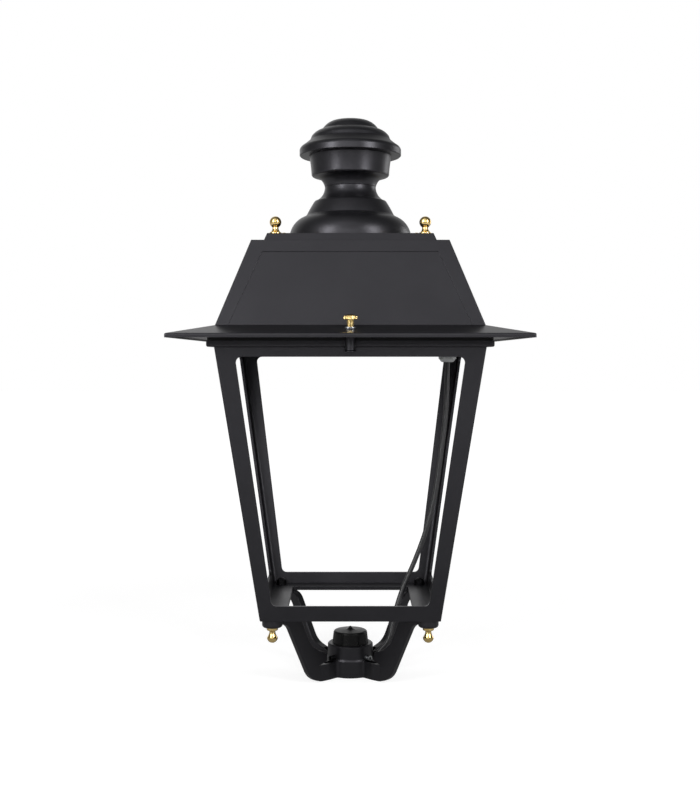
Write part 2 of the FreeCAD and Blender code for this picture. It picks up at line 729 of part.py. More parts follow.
def make_hood():
    """Cast hood: eave, four sloping faces and a flat top with a vent hole."""
    t = HOOD_WALL
    slope = (ROOF_FOOT - ROOF_TOP) / ROOF_H
    lip = frustum(EAVE_HALF, EAVE_Z0, EAVE_HALF, EAVE_Z1, EAVE_CORNER)
    roof = frustum(ROOF_FOOT, ROOF_Z0, ROOF_TOP, ROOF_Z1, ROOF_EDGE)
    body = fuse([lip, make_brim()])
    lip_edges = [e for e in body.Edges
                 if abs(e.CenterOfMass.z - EAVE_Z1) < 0.01 and e.Length > 1.0]
    body = body.makeFillet(EAVE_EDGE, lip_edges).fuse(roof)
    brim_slope = EAVE_RISE / (EAVE_HALF - ROOF_FOOT)
    under_foot = ROOF_FOOT - t
    under_z0 = EAVE_Z1 - t + t * brim_slope
    under_z1 = under_z0 + (EAVE_HALF - t - under_foot) * brim_slope
    lip_in = EAVE_HALF - t
    hollow = [
        frustum(lip_in, EAVE_Z0 - 1.0, lip_in, under_z0, 1.0),
        frustum(lip_in, under_z0, under_foot, under_z1, 1.0),
        frustum(under_foot, under_z1, ROOF_TOP - t + t * slope, ROOF_Z1 - t, 1.0),
    ]
    body = body.cut(group(hollow))
    for tool in at_corners(make_panel_recess()):
        body = body.cut(tool)
    rib_z0 = COLLAR_Z1 + GASKET_T + SLIP
    rib_z1 = EAVE_Z1 + EAVE_RISE * 0.75
    rib = frustum(RIB_OUT, rib_z0, RIB_OUT, rib_z1, 5.0)
    rib = rib.cut(frustum(RIB_IN, rib_z0 - 1, RIB_IN, rib_z1 + 1, 3.0))
    seat_r = SCREW_WASHER_R + SLIP
    seat_z = screw_seat_z()
    seat = cylinder(seat_r, HOOD_WALL, V(0, -SCREW_Y, seat_z - HOOD_WALL))
    body = body.fuse([rib, seat] + make_knuckles())
    tools = [cylinder(HOOD_VENT_R, 20.0, V(0, 0, ROOF_Z1 - 10.0)),
             cylinder(SCREW_HOLE_R, 40.0, V(0, -SCREW_Y, EAVE_Z0)),
             cylinder(seat_r, HOOD_WALL, V(0, -SCREW_Y, seat_z))]
    for side in (-1, 1):
        tools.append(cylinder(PIN_R + HINGE_FIT, KNUCKLE_W + 2.0,
                              V(side * HINGE_X - KNUCKLE_W / 2 - 1.0, HINGE_Y, HINGE_Z),
                              V(1, 0, 0)))
    for sx, sy in CORNERS.values():
        tools.append(cylinder(TRAY_SCREW_R, 20.0,
                              V(sx * CAP_SCREW_AT, sy * CAP_SCREW_AT, ROOF_Z1 - 10.0)))
    return body.cut(group(tools)).removeSplitter()


def make_roof_cap():
    """Stepped square plate on the roof: it carries the chimney and finials."""
    body = frustum(CAP_FOOT, ROOF_Z1, CAP_TOP, CAP_Z1, 2.0)
    body = body.cut(frustum(CAP_FOOT - CAP_WALL, ROOF_Z1 - 1.0,
                            CAP_TOP - CAP_WALL, CAP_Z1 - CAP_WALL, 1.0))
    posts = []
    tools = [cylinder(CAP_HOLE_R, 20.0, V(0, 0, CAP_Z1 - 10.0))]
    for sx, sy in CORNERS.values():
        at = V(sx * CAP_SCREW_AT, sy * CAP_SCREW_AT, ROOF_Z1)
        posts.append(cylinder(6.0, CAP_H - CAP_WALL / 2, at))
        tools.append(cylinder(TRAY_SCREW_R, 11.0, at - UP))
        tools.append(cylinder(TRAY_SCREW_R, 10.0, V(sx * TOP_FINIAL_AT, sy * TOP_FINIAL_AT,
                                                    CAP_Z1 - 5.0)))
    body = body.fuse(posts)
    reach = CAP_FOOT - CAP_WALL
    bridge = box(-reach, reach, -BRIDGE_W / 2, BRIDGE_W / 2, ROOF_Z1 + SLIP,
                 ROOF_Z1 + SLIP + BRIDGE_T)
    body = body.fuse(bridge)
    tools.append(cylinder(TIE_R, 10.0, V(0, 0, ROOF_Z1)))
    return body.cut(group(tools)).removeSplitter()


def turned_down_to_axis(points, dr, dz):
    """Solid of revolution under an open outline that is moved by dr and dz."""
    moved = []
    for p in points:
        shift = (dr, dz) * (len(p) // 2)
        moved.append(tuple(a + b for a, b in zip(p, shift)))
    last = moved[-1]
    closing = [(0, moved[0][1])]
    if last[0] > 0:
        closing = [(0, last[1])] + closing
    face = Part.Face(outline(moved + closing))
    side = Part.Face(outline([(0, 0), (EAVE_HALF, 0), (EAVE_HALF, DOME_Z1 * 2),
                              (0, DOME_Z1 * 2)]))
    return face.common(side).Faces[0].revolve(V(0, 0, 0), UP, 360)


def shell(points, dr, dz, bore):
    """Turned shell: an outline less the same outline moved inward, and a bore."""
    solid = turned_down_to_axis(points, 0, 0)
    solid = solid.cut(turned_down_to_axis(points, dr, dz))
    return solid.cut(cylinder(bore, DOME_Z1))


def make_bell():
    """Bell-shaped foot of the chimney, in two steps up to the neck."""
    points = profile(CAP_Z1, [
        (BELL_FOOT_R, 0), (BELL_FOOT_R - 0.5, 3.0),
        (BELL_STEP_R + 2.6, BELL_STEP_Z - 2.4, 6.5), (BELL_STEP_R, BELL_STEP_Z),
        (BELL_SHOULDER_R, BELL_SHOULDER_Z, 0.3),
        (BELL_SHOULDER_R - 1.4, BELL_SHOULDER_Z + 1.8), (NECK_R, BELL_H, -4.15),
    ])
    return shell(points, -CHIMNEY_WALL, -CHIMNEY_WALL * 0.6, NECK_R - CHIMNEY_WALL)


def make_drum():
    """Drum of the chimney, flaring out from the neck."""
    half_cove = (NECK_R + DRUM_COVE_R) / 2
    points = profile(NECK_Z + SLIP, [
        (NECK_R, 0), (half_cove - 2.8, DRUM_COVE_Z * 0.7, -0.8),
        (DRUM_COVE_R, DRUM_COVE_Z, -0.8), (DRUM_FOOT_R, DRUM_FOOT_Z, 1.1),
        (DRUM_TOP_R, DRUM_H - SLIP, -0.45),
    ])
    return shell(points, -CHIMNEY_WALL, CHIMNEY_WALL * 0.8, NECK_R - CHIMNEY_WALL)


def make_chimney_cap():
    """Domed cap with a heavy rim, stepped rings and a boss for the tie rod."""
    z = DRUM_Z1
    dome_edge = DOME_Z1 - DOME_EDGE_DROP
    points = profile(z, [
        (RIM_R - 1.2, 0), (RIM_R, 1.2), (RIM_R, RIM_H - 1.5),
        (RIM_R - 3.3, RIM_H + 3.5, 0.5), (RING_R + 1.1, RING_Z - 1.6, -0.35),
        (RING_R, RING_Z), (RING_R - 1.7, RING_Z + 4.4),
        (RING_TOP_R, RING_TOP_Z, 1.6), (RING_TOP_R - 1.7, RING_TOP_Z + 1.1),
        (DOME_EDGE_R, DOME_H - DOME_EDGE_DROP, 1.8),
    ]) + [dome(DOME_EDGE_R, dome_edge, DOME_Z1)]
    solid = turned_down_to_axis(points, 0, 0)
    hollow = turned_down_to_axis(points, -CHIMNEY_WALL, -CHIMNEY_WALL * 0.8)
    hollow = hollow.common(cylinder(RIM_R, DOME_H, V(0, 0, z + CHIMNEY_WALL)))
    solid = solid.cut(hollow).cut(cylinder(DRUM_TOP_R - CHIMNEY_WALL, CHIMNEY_WALL * 2,
                                           V(0, 0, z - CHIMNEY_WALL)))
    boss = cylinder(TIE_R * 2, DOME_H - BOSS_DROP - CHIMNEY_WALL / 2, V(0, 0, z + BOSS_DROP))
    thread = cylinder(TIE_R, TIE_GRIP, V(0, 0, z + BOSS_DROP))
    return solid.fuse(boss).cut(thread).removeSplitter()


def make_tie_rod():
    """Threaded rod that clamps the chimney to the roof cap."""
    foot = ROOF_Z1 - 12.0
    top = DRUM_Z1 + BOSS_DROP + TIE_GRIP
    return cylinder(TIE_R, top - foot, V(0, 0, foot))


def make_tie_nut():
    """Nut under the bridge of the roof cap."""
    z = ROOF_Z1 + SLIP - WASHER_T - NUT_H
    return hexagon(NUT_AF, NUT_H, V(0, 0, z)).cut(cylinder(TIE_R, 20.0, V(0, 0, z - 1.0)))


def make_tie_washer():
    z = ROOF_Z1 + SLIP - WASHER_T
    return cylinder(WASHER_R, WASHER_T, V(0, 0, z)).cut(
        cylinder(TIE_R, 20.0, V(0, 0, z - 1.0)))


def make_top_finial(at):
    """Brass ball finial on a flaring foot, with its threaded stud."""
    foot = TOP_FINIAL_FOOT_R
    ball_z = TOP_FINIAL_H - BALL_R
    touch = math.sqrt(BALL_R ** 2 - TOP_FINIAL_NECK_R ** 2)
    return turned(profile(0, [
        (0, -TOP_STUD_LEN), (TOP_STUD_R, -TOP_STUD_LEN), (TOP_STUD_R, 0), (foot, 0),
        (foot, 1.6), (TOP_FINIAL_NECK_R, ball_z - touch, -1.3),
    ]) + [(0, TOP_FINIAL_H, BALL_R, ball_z)], at)


def make_finial_nuts():
    nuts = []
    z = CAP_Z1 - CAP_WALL
    for sx, sy in CORNERS.values():
        at = V(sx * TOP_FINIAL_AT, sy * TOP_FINIAL_AT, z - NUT_M5_H)
        nuts.append(hexagon(NUT_M5_AF, NUT_M5_H, at).cut(cylinder(TOP_STUD_R, 20.0, at - UP)))
    return group(nuts)


def make_bottom_finial(at):
    """Brass pear finial with the stud that holds the corner together."""
    pad = FRAME_Z0 - PAD_H
    stud_top = FRAME_Z0 + FLOOR_T + WASHER_T + STUD_GRIP - pad
    body = turned([
        (0, stud_top), (STUD_R, stud_top), (STUD_R, 0), (COLLAR_FINIAL_R, 0),
        (COLLAR_FINIAL_R, -2.6),
        (COLLAR_FINIAL_R - 1.6, -4.4, COLLAR_FINIAL_R - 0.4, -4.0),
        (4.2, -6.4, 5.0, -5.0),
        (PEAR_R, PEAR_R - PEAR_H, 5.2, -10.4),
        (0, -PEAR_H, PEAR_R * math.sqrt(0.5), PEAR_R * (1 - math.sqrt(0.5)) - PEAR_H),
    ])
    body.translate(V(at.x, at.y, pad))
    return body


def make_corner_nuts():
    """Closed nuts on the studs of the lower finials."""
    nuts = []
    z = FRAME_Z0 + FLOOR_T + WASHER_T
    flat = CAP_NUT_H - CAP_NUT_DOME
    r = NUT_AF / 2
    for sx, sy in CORNERS.values():
        at = V(sx * STUD_AT, sy * STUD_AT, z)
        crown = turned([(0, 0), (r, 0), (r, flat), dome(r, flat, CAP_NUT_H)], at)
        nut = hexagon(NUT_AF, flat, at).fuse(crown)
        nuts.append(nut.cut(cylinder(STUD_R, STUD_GRIP, at)).removeSplitter())
    return group(nuts)


def make_corner_washers():
    washers = []
    z = FRAME_Z0 + FLOOR_T
    for sx, sy in CORNERS.values():
        at = V(sx * STUD_AT, sy * STUD_AT, z)
        washers.append(cylinder(WASHER_R, WASHER_T, at).cut(cylinder(STUD_R, 20.0, at - UP)))
    return group(washers)


def make_hinge_pin(side):
    """Hinge pin with a flat head at its outer end."""
    half = KNUCKLE_W / 2 + SLIP + EAR_W
    x = side * HINGE_X
    pin = cylinder(PIN_R, half * 2 + 2.0, V(x - half - 1.0, HINGE_Y, HINGE_Z), V(1, 0, 0))
    head_x = x + side * half
    head = cylinder(PIN_HEAD_R, PIN_HEAD_T, V(head_x, HINGE_Y, HINGE_Z), V(side, 0, 0))
    return pin.fuse(head).removeSplitter()


def brim_top(y):
    """Height of the top of the brim at a distance y from the middle."""
    return EAVE_Z1 + (EAVE_HALF - y) / (EAVE_HALF - ROOF_FOOT) * EAVE_RISE


def screw_seat_z():
    """Height of the flat seat that is cast into the brim for the thumb screw."""
    return brim_top(SCREW_Y) - SCREW_SEAT


def make_screw_seat():
    """Washer under the thumb screw."""
    at = V(0, -SCREW_Y, screw_seat_z())
    return cylinder(SCREW_WASHER_R, SCREW_WASHER_T, at).cut(
        cylinder(SCREW_HOLE_R, SCREW_WASHER_T, at))


def make_thumb_screw():
    """Brass thumb screw: knurled head, neck and shank."""
    seat = screw_seat_z() + SCREW_WASHER_T + SLIP
    tip = BOSS_SEAT - SCREW_REACH
    head_z = seat + SCREW_NECK_H
    top = head_z + SCREW_HEAD_H
    clip_z = BOSS_SEAT + SLIP
    groove = SCREW_R - 0.6
    return turned([
        (0, tip), (SCREW_R - 0.8, tip), (SCREW_R, tip + 0.8), (SCREW_R, clip_z),
        (groove, clip_z), (groove, clip_z + CLIP_T), (SCREW_R, clip_z + CLIP_T),
        (SCREW_R, seat), (SCREW_NECK_R, seat), (SCREW_NECK_R, head_z),
        (SCREW_HEAD_R - 0.5, head_z), (SCREW_HEAD_R, head_z + 0.5),
        (SCREW_HEAD_R, top - 0.8), (SCREW_HEAD_R - 0.8, top),
        dome(SCREW_HEAD_R - 0.8, top, top + SCREW_CROWN),
    ], V(0, -SCREW_Y, 0))


def make_screw_clip():
    """Clip in the groove of the thumb screw: it keeps the screw in the hood."""
    z = BOSS_SEAT + SLIP + 0.05
    ring = cylinder(CLIP_R, CLIP_T - 0.1, V(0, -SCREW_Y, z))
    ring = ring.cut(cylinder(SCREW_R - 0.5, CLIP_T, V(0, -SCREW_Y, z)))
    return ring.cut(box(-1.5, 1.5, -SCREW_Y, -SCREW_Y + CLIP_R + 1.0, z - 1.0, z + 2.0))


def make_tray():
    """Steel tray that closes the top of the frame."""
    h = TRAY_HALF
    c = TRAY_CORNER
    ring = [V(h - c, -h, 0), V(h, -h + c, 0), V(h, h - c, 0), V(h - c, h, 0),
            V(-h + c, h, 0), V(-h, h - c, 0), V(-h, -h + c, 0), V(-h + c, -h, 0)]
    tray = Part.Face(Part.makePolygon(ring + [ring[0]])).extrude(V(0, 0, TRAY_T))
    tray.translate(V(0, 0, TRAY_Z0))
    tools = [cylinder(LIGHT_R + SLIP, 10.0, V(0, 0, TRAY_Z0 - 4.0)),
             cylinder(GLAND_THREAD_R + SLIP, 10.0, V(GLAND_AT[0], GLAND_AT[1], TRAY_Z0 - 4.0))]
    for sx, sy in CORNERS.values():
        tools.append(cylinder(TRAY_SCREW_R + SLIP, 10.0,
                              V(sx * TRAY_SCREW_AT, sy * TRAY_SCREW_AT, TRAY_Z0 - 4.0)))
    return tray.cut(group(tools))


def make_screws(places, z, length, way=1):
    """Pan head screws with their seats at height z, heads up or down."""
    screws = []
    shank = TRAY_SCREW_R - SLIP / 3
    for x, y in places:
        screws.append(turned([
            (0, z - way * length), (shank, z - way * length), (shank, z), (4.6, z),
            (4.6, z + way * 1.2), dome(4.6, z + way * 1.2, z + way * 3.0),
        ], V(x, y, 0)))
    return group(screws)


def make_lens():
    """Frosted disc over the light chips, held by the heat sink."""
    z0 = TRAY_Z0 - LENS_DROP
    k = 1.5
    return turned([(0, z0), (LIGHT_R - k, z0), (LIGHT_R, z0 + k), (LIGHT_R, TRAY_Z1),
                   (LIGHT_R - 3.0, TRAY_Z1), (LIGHT_R - 3.0, z0 + 3.0), (0, z0 + 3.0)])


def make_board():
    """Round circuit board with its light chips underneath."""
    r = LIGHT_R - 3.0 - SLIP
    board = cylinder(r, BOARD_T, V(0, 0, TRAY_Z1 - BOARD_T))
    chips = []
    for ring_r, count in ((r * 0.42, CHIP_COUNT // 2), (r * 0.78, CHIP_COUNT)):
        for i in range(count):
            a = 2 * math.pi * i / count
            x = ring_r * math.cos(a)
            y = ring_r * math.sin(a)
            z = TRAY_Z1 - BOARD_T
            chips.append(box(x - 1.7, x + 1.7, y - 1.7, y + 1.7, z - 0.8, z + 0.2))
    return board.fuse(chips).removeSplitter()


def make_heatsink():
    """Cast heat sink with straight fins on top."""
    base = cylinder(HEATSINK_R, 6.0, V(0, 0, TRAY_Z1))
    fins = []
    span = 2 * HEATSINK_R * 0.92
    for i in range(FIN_COUNT):
        x = -span / 2 + span * i / (FIN_COUNT - 1)
        half = math.sqrt(HEATSINK_R ** 2 - x ** 2) - 1.0
        fins.append(box(x - FIN_T / 2, x + FIN_T / 2, -half, half, TRAY_Z1 + 5.0,
                        TRAY_Z1 + HEATSINK_H))
    return base.fuse(fins).removeSplitter()


def make_driver():
    """Sealed power supply of the light, with two screw ears."""
    wx, wy, h = DRIVER
    x0 = -HEATSINK_R - 10.0 - wx
    y0 = -wy / 2
    case = box(x0, x0 + wx, y0, y0 + wy, TRAY_Z1, TRAY_Z1 + h)
    case = case.makeFillet(3.0, [e for e in case.Edges
                                 if e.CenterOfMass.z > TRAY_Z1 + 1.0])
    ears = box(x0 + wx * 0.3, x0 + wx * 0.7, y0 - 10.0, y0 + wy + 10.0, TRAY_Z1, TRAY_Z1 + 2.5)
    body = case.fuse(ears)
    mid = x0 + wx / 2
    for y in (y0 - 5.5, y0 + wy + 5.5):
        body = body.cut(cylinder(2.2, 10.0, V(mid, y, TRAY_Z1 - 2.0)))
    return body.removeSplitter()


def make_terminal():
    """Terminal block with three cable clamps."""
    wx, wy, h = TERMINAL
    x0 = GLAND_AT[0] - wx / 2
    y0 = GLAND_AT[1] - 34.0 - wy
    block = box(x0, x0 + wx, y0, y0 + wy, TRAY_Z1, TRAY_Z1 + h)
    for i in range(3):
        y = y0 + wy * (i + 0.5) / 3
        block = block.cut(cylinder(2.6, 8.0, V(x0 + wx / 2, y, TRAY_Z1 + h - 6.0)))
        block = block.cut(cylinder(2.4, wx + 2.0, V(x0 - 1.0, y, TRAY_Z1 + 6.0), V(1, 0, 0)))
    return block


def make_gland():
    """Body of the cable gland: flange below the tray, thread through it."""
    at = V(GLAND_AT[0], GLAND_AT[1], 0)
    flange = hexagon(GLAND_AF, GLAND_BODY_H, at + UP * (TRAY_Z0 - GLAND_BODY_H))
    thread = cylinder(GLAND_THREAD_R, GLAND_BODY_H + TRAY_T + LOCKNUT_H + 2.0,
                      at + UP * (TRAY_Z0 - GLAND_BODY_H))
    return flange.fuse(thread).removeSplitter()


def make_gland_nut():
    """Domed nut of the gland, where the cable comes out."""
    top = TRAY_Z0 - GLAND_BODY_H
    at = V(GLAND_AT[0], GLAND_AT[1], 0)
    z0 = top - GLAND_NUT_H
    prism = hexagon(GLAND_AF, GLAND_NUT_H, at + UP * z0)
    r = GLAND_AF / 2
    shape = turned([(0, z0), (r * 0.62, z0), (r * 0.96, z0 + 4.0, r * 0.86, z0 + 1.6),
                    (r * 1.13, z0 + 5.2), (r * 1.13, top), (0, top)], at)
    return prism.common(shape)


def make_locknut():
    at = V(GLAND_AT[0], GLAND_AT[1], TRAY_Z1)
    return hexagon(LOCKNUT_AF, LOCKNUT_H, at).cut(cylinder(GLAND_THREAD_R, 20, at - UP))


# Route of the cable, chosen by eye: from the gland nut down to the hub
CABLE_START_Z = TRAY_Z0 - GLAND_BODY_H - GLAND_NUT_H
CABLE_ROUTE = [
    (150.0, 60.0, CABLE_START_Z),
    (149.4, 58.2, 430.0),
    (146.8, 54.6, 380.0),
    (140.8, 50.0, 336.0),
    (134.8, 46.0, 290.0),
    (126.6, 41.6, 245.0),
    (113.4, 37.4, 200.0),
    (97.8, 33.4, 160.0),
    (80.8, 28.4, 124.0),
    (69.8, 20.6, 93.0),
    (63.4, 9.8, 69.0),
    (59.8, 2.8, 51.5),
]


def cable_points():
    """The chosen route, closed by two points on the axis of the entry."""
    axis = entry_axis()
    end = entry_seat() + axis * ENTRY_REACH
    points = [V(*p) for p in CABLE_ROUTE]
    return points + [end + axis * ENTRY_RUN, end]


def make_cable():
    """Tube along the route: straight runs joined by arcs that touch them."""
    points = cable_points()
    edges = []
    here = points[0]
    for i in range(1, len(points) - 1):
        p = points[i]
        back = points[i - 1] - p
        on = points[i + 1] - p
        shorter = min(back.Length, on.Length)
        turn = math.pi - back.getAngle(on)
        radius = 0.45 * shorter / math.tan(turn / 2)
        cut = 0.45 * shorter
        a = p + back.normalize() * cut
        b = p + on.normalize() * cut
        way = (back + on).normalize()
        m = p + way * (radius / math.cos(turn / 2) - radius)
        print("bend", i, "run", round(shorter, 1), "turn", round(math.degrees(turn), 1),
              "radius", round(radius, 1))
        edges.append(Part.LineSegment(here, a).toShape())
        edges.append(Part.Arc(a, m, b).toShape())
        here = b
    edges.append(Part.LineSegment(here, points[-1]).toShape())
    path = Part.Wire(edges)
    direction = (points[1] - points[0]).normalize()
    circle = Part.Wire(Part.Circle(points[0], direction, CABLE_R).toShape())
    tube = path.makePipeShell([circle], True, False)
    expected = math.pi * CABLE_R ** 2 * path.Length
    print("cable length", round(path.Length, 1), "volume", round(tube.Volume),
          "section times length", round(expected))
    return tube


def main():
    export(make_yoke(), "base_yoke")
    export(make_set_screws(["front_right"]), "set_screw_front_right")
    export(make_set_screws(["front_left", "back_left", "back_right"]), "socket_set_screws")
    export(make_plug(), "top_plug")
    export(make_entry_bush(), "cable_entry_bush")
    export(make_frame(), "lantern_frame")
    export(make_corner_washers(), "corner_washers")
    export(make_corner_nuts(), "corner_nuts")
    for name, (sx, sy) in CORNERS.items():
        export(make_bottom_finial(V(sx * STUD_AT, sy * STUD_AT, 0)), "lower_finial_" + name)
    export(make_gasket(), "hood_gasket")
    export(make_hinge_pin(-1), "hinge_pin_left")
    export(make_hinge_pin(1), "hinge_pin_right")
    export(make_tray(), "gear_tray")
    tray_places = [(sx * TRAY_SCREW_AT, sy * TRAY_SCREW_AT) for sx, sy in CORNERS.values()]
    export(make_screws(tray_places, TRAY_Z1, TRAY_T + LUG_T + 1.0), "tray_screws")
    export(make_lens(), "light_diffuser")
    export(make_board(), "light_board")
    export(make_heatsink(), "heat_sink")
    export(make_driver(), "light_driver")
    export(make_terminal(), "terminal_block")
    export(make_gland(), "gland_body")
    export(make_gland_nut(), "gland_nut")
    export(make_locknut(), "gland_locknut")
    export(make_cable(), "power_cable")
    export(make_hood(), "roof_hood")
    export(make_roof_cap(), "roof_cap")
    export(make_bell(), "chimney_bell")
    export(make_drum(), "chimney_drum")
    export(make_chimney_cap(), "chimney_cap")
    export(make_tie_rod(), "chimney_tie_rod")
    export(make_tie_nut(), "tie_rod_nut")
    export(make_tie_washer(), "tie_rod_washer")
    cap_places = [(sx * CAP_SCREW_AT, sy * CAP_SCREW_AT) for sx, sy in CORNERS.values()]
    export(make_screws(cap_places, ROOF_Z1 - HOOD_WALL, HOOD_WALL + 9.0, -1), "cap_screws")
    for name, (sx, sy) in CORNERS.items():
        at = V(sx * TOP_FINIAL_AT, sy * TOP_FINIAL_AT, CAP_Z1)
        export(make_top_finial(at), "upper_finial_" + name)
    export(make_finial_nuts(), "finial_nuts")
    export(make_screw_seat(), "screw_seat_washer")
    export(make_screw_clip(), "screw_clip")
    export(make_thumb_screw(), "thumb_screw")


main()
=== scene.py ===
import json
import math

import bmesh
import bpy
from bpy.props import FloatProperty, FloatVectorProperty, IntProperty, PointerProperty
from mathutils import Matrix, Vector


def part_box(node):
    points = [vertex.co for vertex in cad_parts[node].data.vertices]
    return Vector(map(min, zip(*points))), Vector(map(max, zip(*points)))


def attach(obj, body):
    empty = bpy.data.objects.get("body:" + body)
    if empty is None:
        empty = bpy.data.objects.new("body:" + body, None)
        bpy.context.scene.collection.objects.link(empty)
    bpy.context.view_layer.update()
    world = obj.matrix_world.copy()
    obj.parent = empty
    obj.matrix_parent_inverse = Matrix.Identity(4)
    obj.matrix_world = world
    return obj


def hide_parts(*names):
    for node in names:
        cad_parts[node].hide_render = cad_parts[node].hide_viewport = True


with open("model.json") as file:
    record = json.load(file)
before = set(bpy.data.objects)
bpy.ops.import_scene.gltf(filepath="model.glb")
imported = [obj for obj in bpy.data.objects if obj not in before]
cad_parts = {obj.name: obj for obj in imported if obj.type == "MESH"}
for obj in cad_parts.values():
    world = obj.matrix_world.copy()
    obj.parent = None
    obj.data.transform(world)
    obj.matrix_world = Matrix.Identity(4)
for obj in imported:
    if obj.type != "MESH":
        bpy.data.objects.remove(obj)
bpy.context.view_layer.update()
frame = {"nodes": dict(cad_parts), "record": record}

bl_info = {
    "name": "Street lantern",
    "version": (1, 0, 0),
    "blender": (4, 5, 0),
    "location": "3D View > Sidebar > Lantern",
    "description": "Finishes, fine pieces and studio of a four-sided street lantern",
    "category": "Object",
}

MM = 0.001
NODES = frame["nodes"]
HOOD = "hood"
LANTERN = "lantern_body"
SCREW = "screw"


# Colour and node helpers


def linear(hex_colour):
    """sRGB hex to the linear values that Blender's colour sockets hold."""
    channels = [int(hex_colour[i:i + 2], 16) / 255 for i in (0, 2, 4)]
    return tuple(c / 12.92 if c <= 0.04045 else ((c + 0.055) / 1.055) ** 2.4
                 for c in channels)


def add(tree, kind, inputs=None, **settings):
    """Add a node: its settings, and for each input a value or the socket that feeds it."""
    node = tree.nodes.new(kind)
    for name, value in settings.items():
        setattr(node, name, value)
    for name, value in (inputs or {}).items():
        if isinstance(value, bpy.types.NodeSocket):
            tree.links.new(value, node.inputs[name])
        else:
            node.inputs[name].default_value = value
    return node


def empty_tree(owner):
    """The node tree of a material or a world, with nothing in it."""
    owner.use_nodes = True
    owner.node_tree.nodes.clear()
    return owner.node_tree


def new_material(name, **shader):
    """A material with one Principled shader, its uniform values on the shader's sockets."""
    material = bpy.data.materials.new(name)
    tree = empty_tree(material)
    bsdf = add(tree, "ShaderNodeBsdfPrincipled", shader)
    add(tree, "ShaderNodeOutputMaterial", {"Surface": bsdf.outputs["BSDF"]})
    return material, tree, bsdf


def link(tree, socket, node, name):
    tree.links.new(socket, node.inputs[name])


def maths(tree, operation, first, second):
    return add(tree, "ShaderNodeMath", {0: first, 1: second},
               operation=operation).outputs["Value"]


def span(tree, value, stretch, onto):
    """Spread a stretch of a value over another range."""
    return add(tree, "ShaderNodeMapRange", {
        "Value": value, "From Min": stretch[0], "From Max": stretch[1],
        "To Min": onto[0], "To Max": onto[1]}).outputs["Result"]


def object_place(tree, scale=None):
    """Place on the piece in metres, its axes scaled where a pattern is to be stretched."""
    place = add(tree, "ShaderNodeTexCoord").outputs["Object"]
    if scale:
        place = add(tree, "ShaderNodeMapping", {"Vector": place,
                                                "Scale": scale}).outputs["Vector"]
    return place


def noise(tree, place, size_mm, **inputs):
    """Noise in grains of about this size."""
    return add(tree, "ShaderNodeTexNoise",
               dict(inputs, Vector=place, Scale=1 / (size_mm * MM))).outputs["Fac"]


def bump(tree, height, depth_mm, **inputs):
    """Surface normal over a relief of this depth."""
    return add(tree, "ShaderNodeBump",
               dict(inputs, Height=height, Distance=depth_mm * MM)).outputs["Normal"]


def rounded_edges(tree, radius):
    """Surface normal with every sharp edge eased by this radius."""
    return add(tree, "ShaderNodeBevel", {"Radius": radius}, samples=4).outputs["Normal"]


def uneven_roughness(tree, bsdf, pattern, low, high, stretch=(0.3, 0.7)):
    """Roughness that goes from low to high over a stretch of a pattern."""
    link(tree, span(tree, pattern, stretch, (low, high)), bsdf, "Roughness")


def two_tones(tree, bsdf, pattern, dark, pale, stretch=(0.0, 1.0)):
    """Base colour that goes from dark to pale over a stretch of a pattern."""
    ramp = add(tree, "ShaderNodeValToRGB", {"Fac": pattern})
    for stop, place, colour in zip(ramp.color_ramp.elements, stretch, (dark, pale)):
        stop.position = place
        stop.color = (*colour, 1)
    link(tree, ramp.outputs["Color"], bsdf, "Base Color")


# Finishes

# the shine of the black paint leans to violet
PAINT_SHINE = {"IOR": 1.5, "Specular Tint": (0.93, 0.91, 1.0, 1)}


def powder_coated_casting():
    """Sand-cast aluminium under black powder coat: the coat's orange peel breaks up the
    highlights, the casting under it makes broad soft waves in them, and its eased edges
    catch the light as thin bright lines."""
    look = bpy.context.scene.lantern_finish
    material, tree, bsdf = new_material("powder_coated_cast_aluminium", **PAINT_SHINE)
    place = object_place(tree)
    # orange peel is about 1.5 mm across; drawn at 2.5 mm so that it shows
    peel = noise(tree, place, size_mm=2.5, Detail=2.0, Roughness=0.55)
    mould = noise(tree, place, size_mm=30, Detail=3.0, Roughness=0.5)
    # the coat is a little thicker and duller in patches
    patch = noise(tree, place, size_mm=90, Detail=5.0, Roughness=0.6)
    waves = bump(tree, mould, depth_mm=2.0, Strength=0.06,
                 Normal=rounded_edges(tree, 0.9 * MM))
    relief = bump(tree, peel, depth_mm=0.35, Strength=0.16, Normal=waves)
    link(tree, relief, bsdf, "Normal")
    uneven_roughness(tree, bsdf, patch, low=0.33, high=0.41)
    two_tones(tree, bsdf, patch, look.paint, look.paint_dull, (0.35, 0.7))
    return material


def painted_steel_sheet():
    """Rolled steel sheet under the same black paint: flat, with faint rolling marks."""
    look = bpy.context.scene.lantern_finish
    material, tree, bsdf = new_material("painted_steel_sheet", **PAINT_SHINE,
                                        **{"Base Color": (*look.paint, 1)})
    # the marks are stretched along the sheet
    rolled = noise(tree, object_place(tree, (1, 0.1, 1)), size_mm=12, Detail=3.0)
    link(tree, bump(tree, rolled, depth_mm=0.3, Strength=0.1), bsdf, "Normal")
    uneven_roughness(tree, bsdf, rolled, low=0.32, high=0.46)
    return material


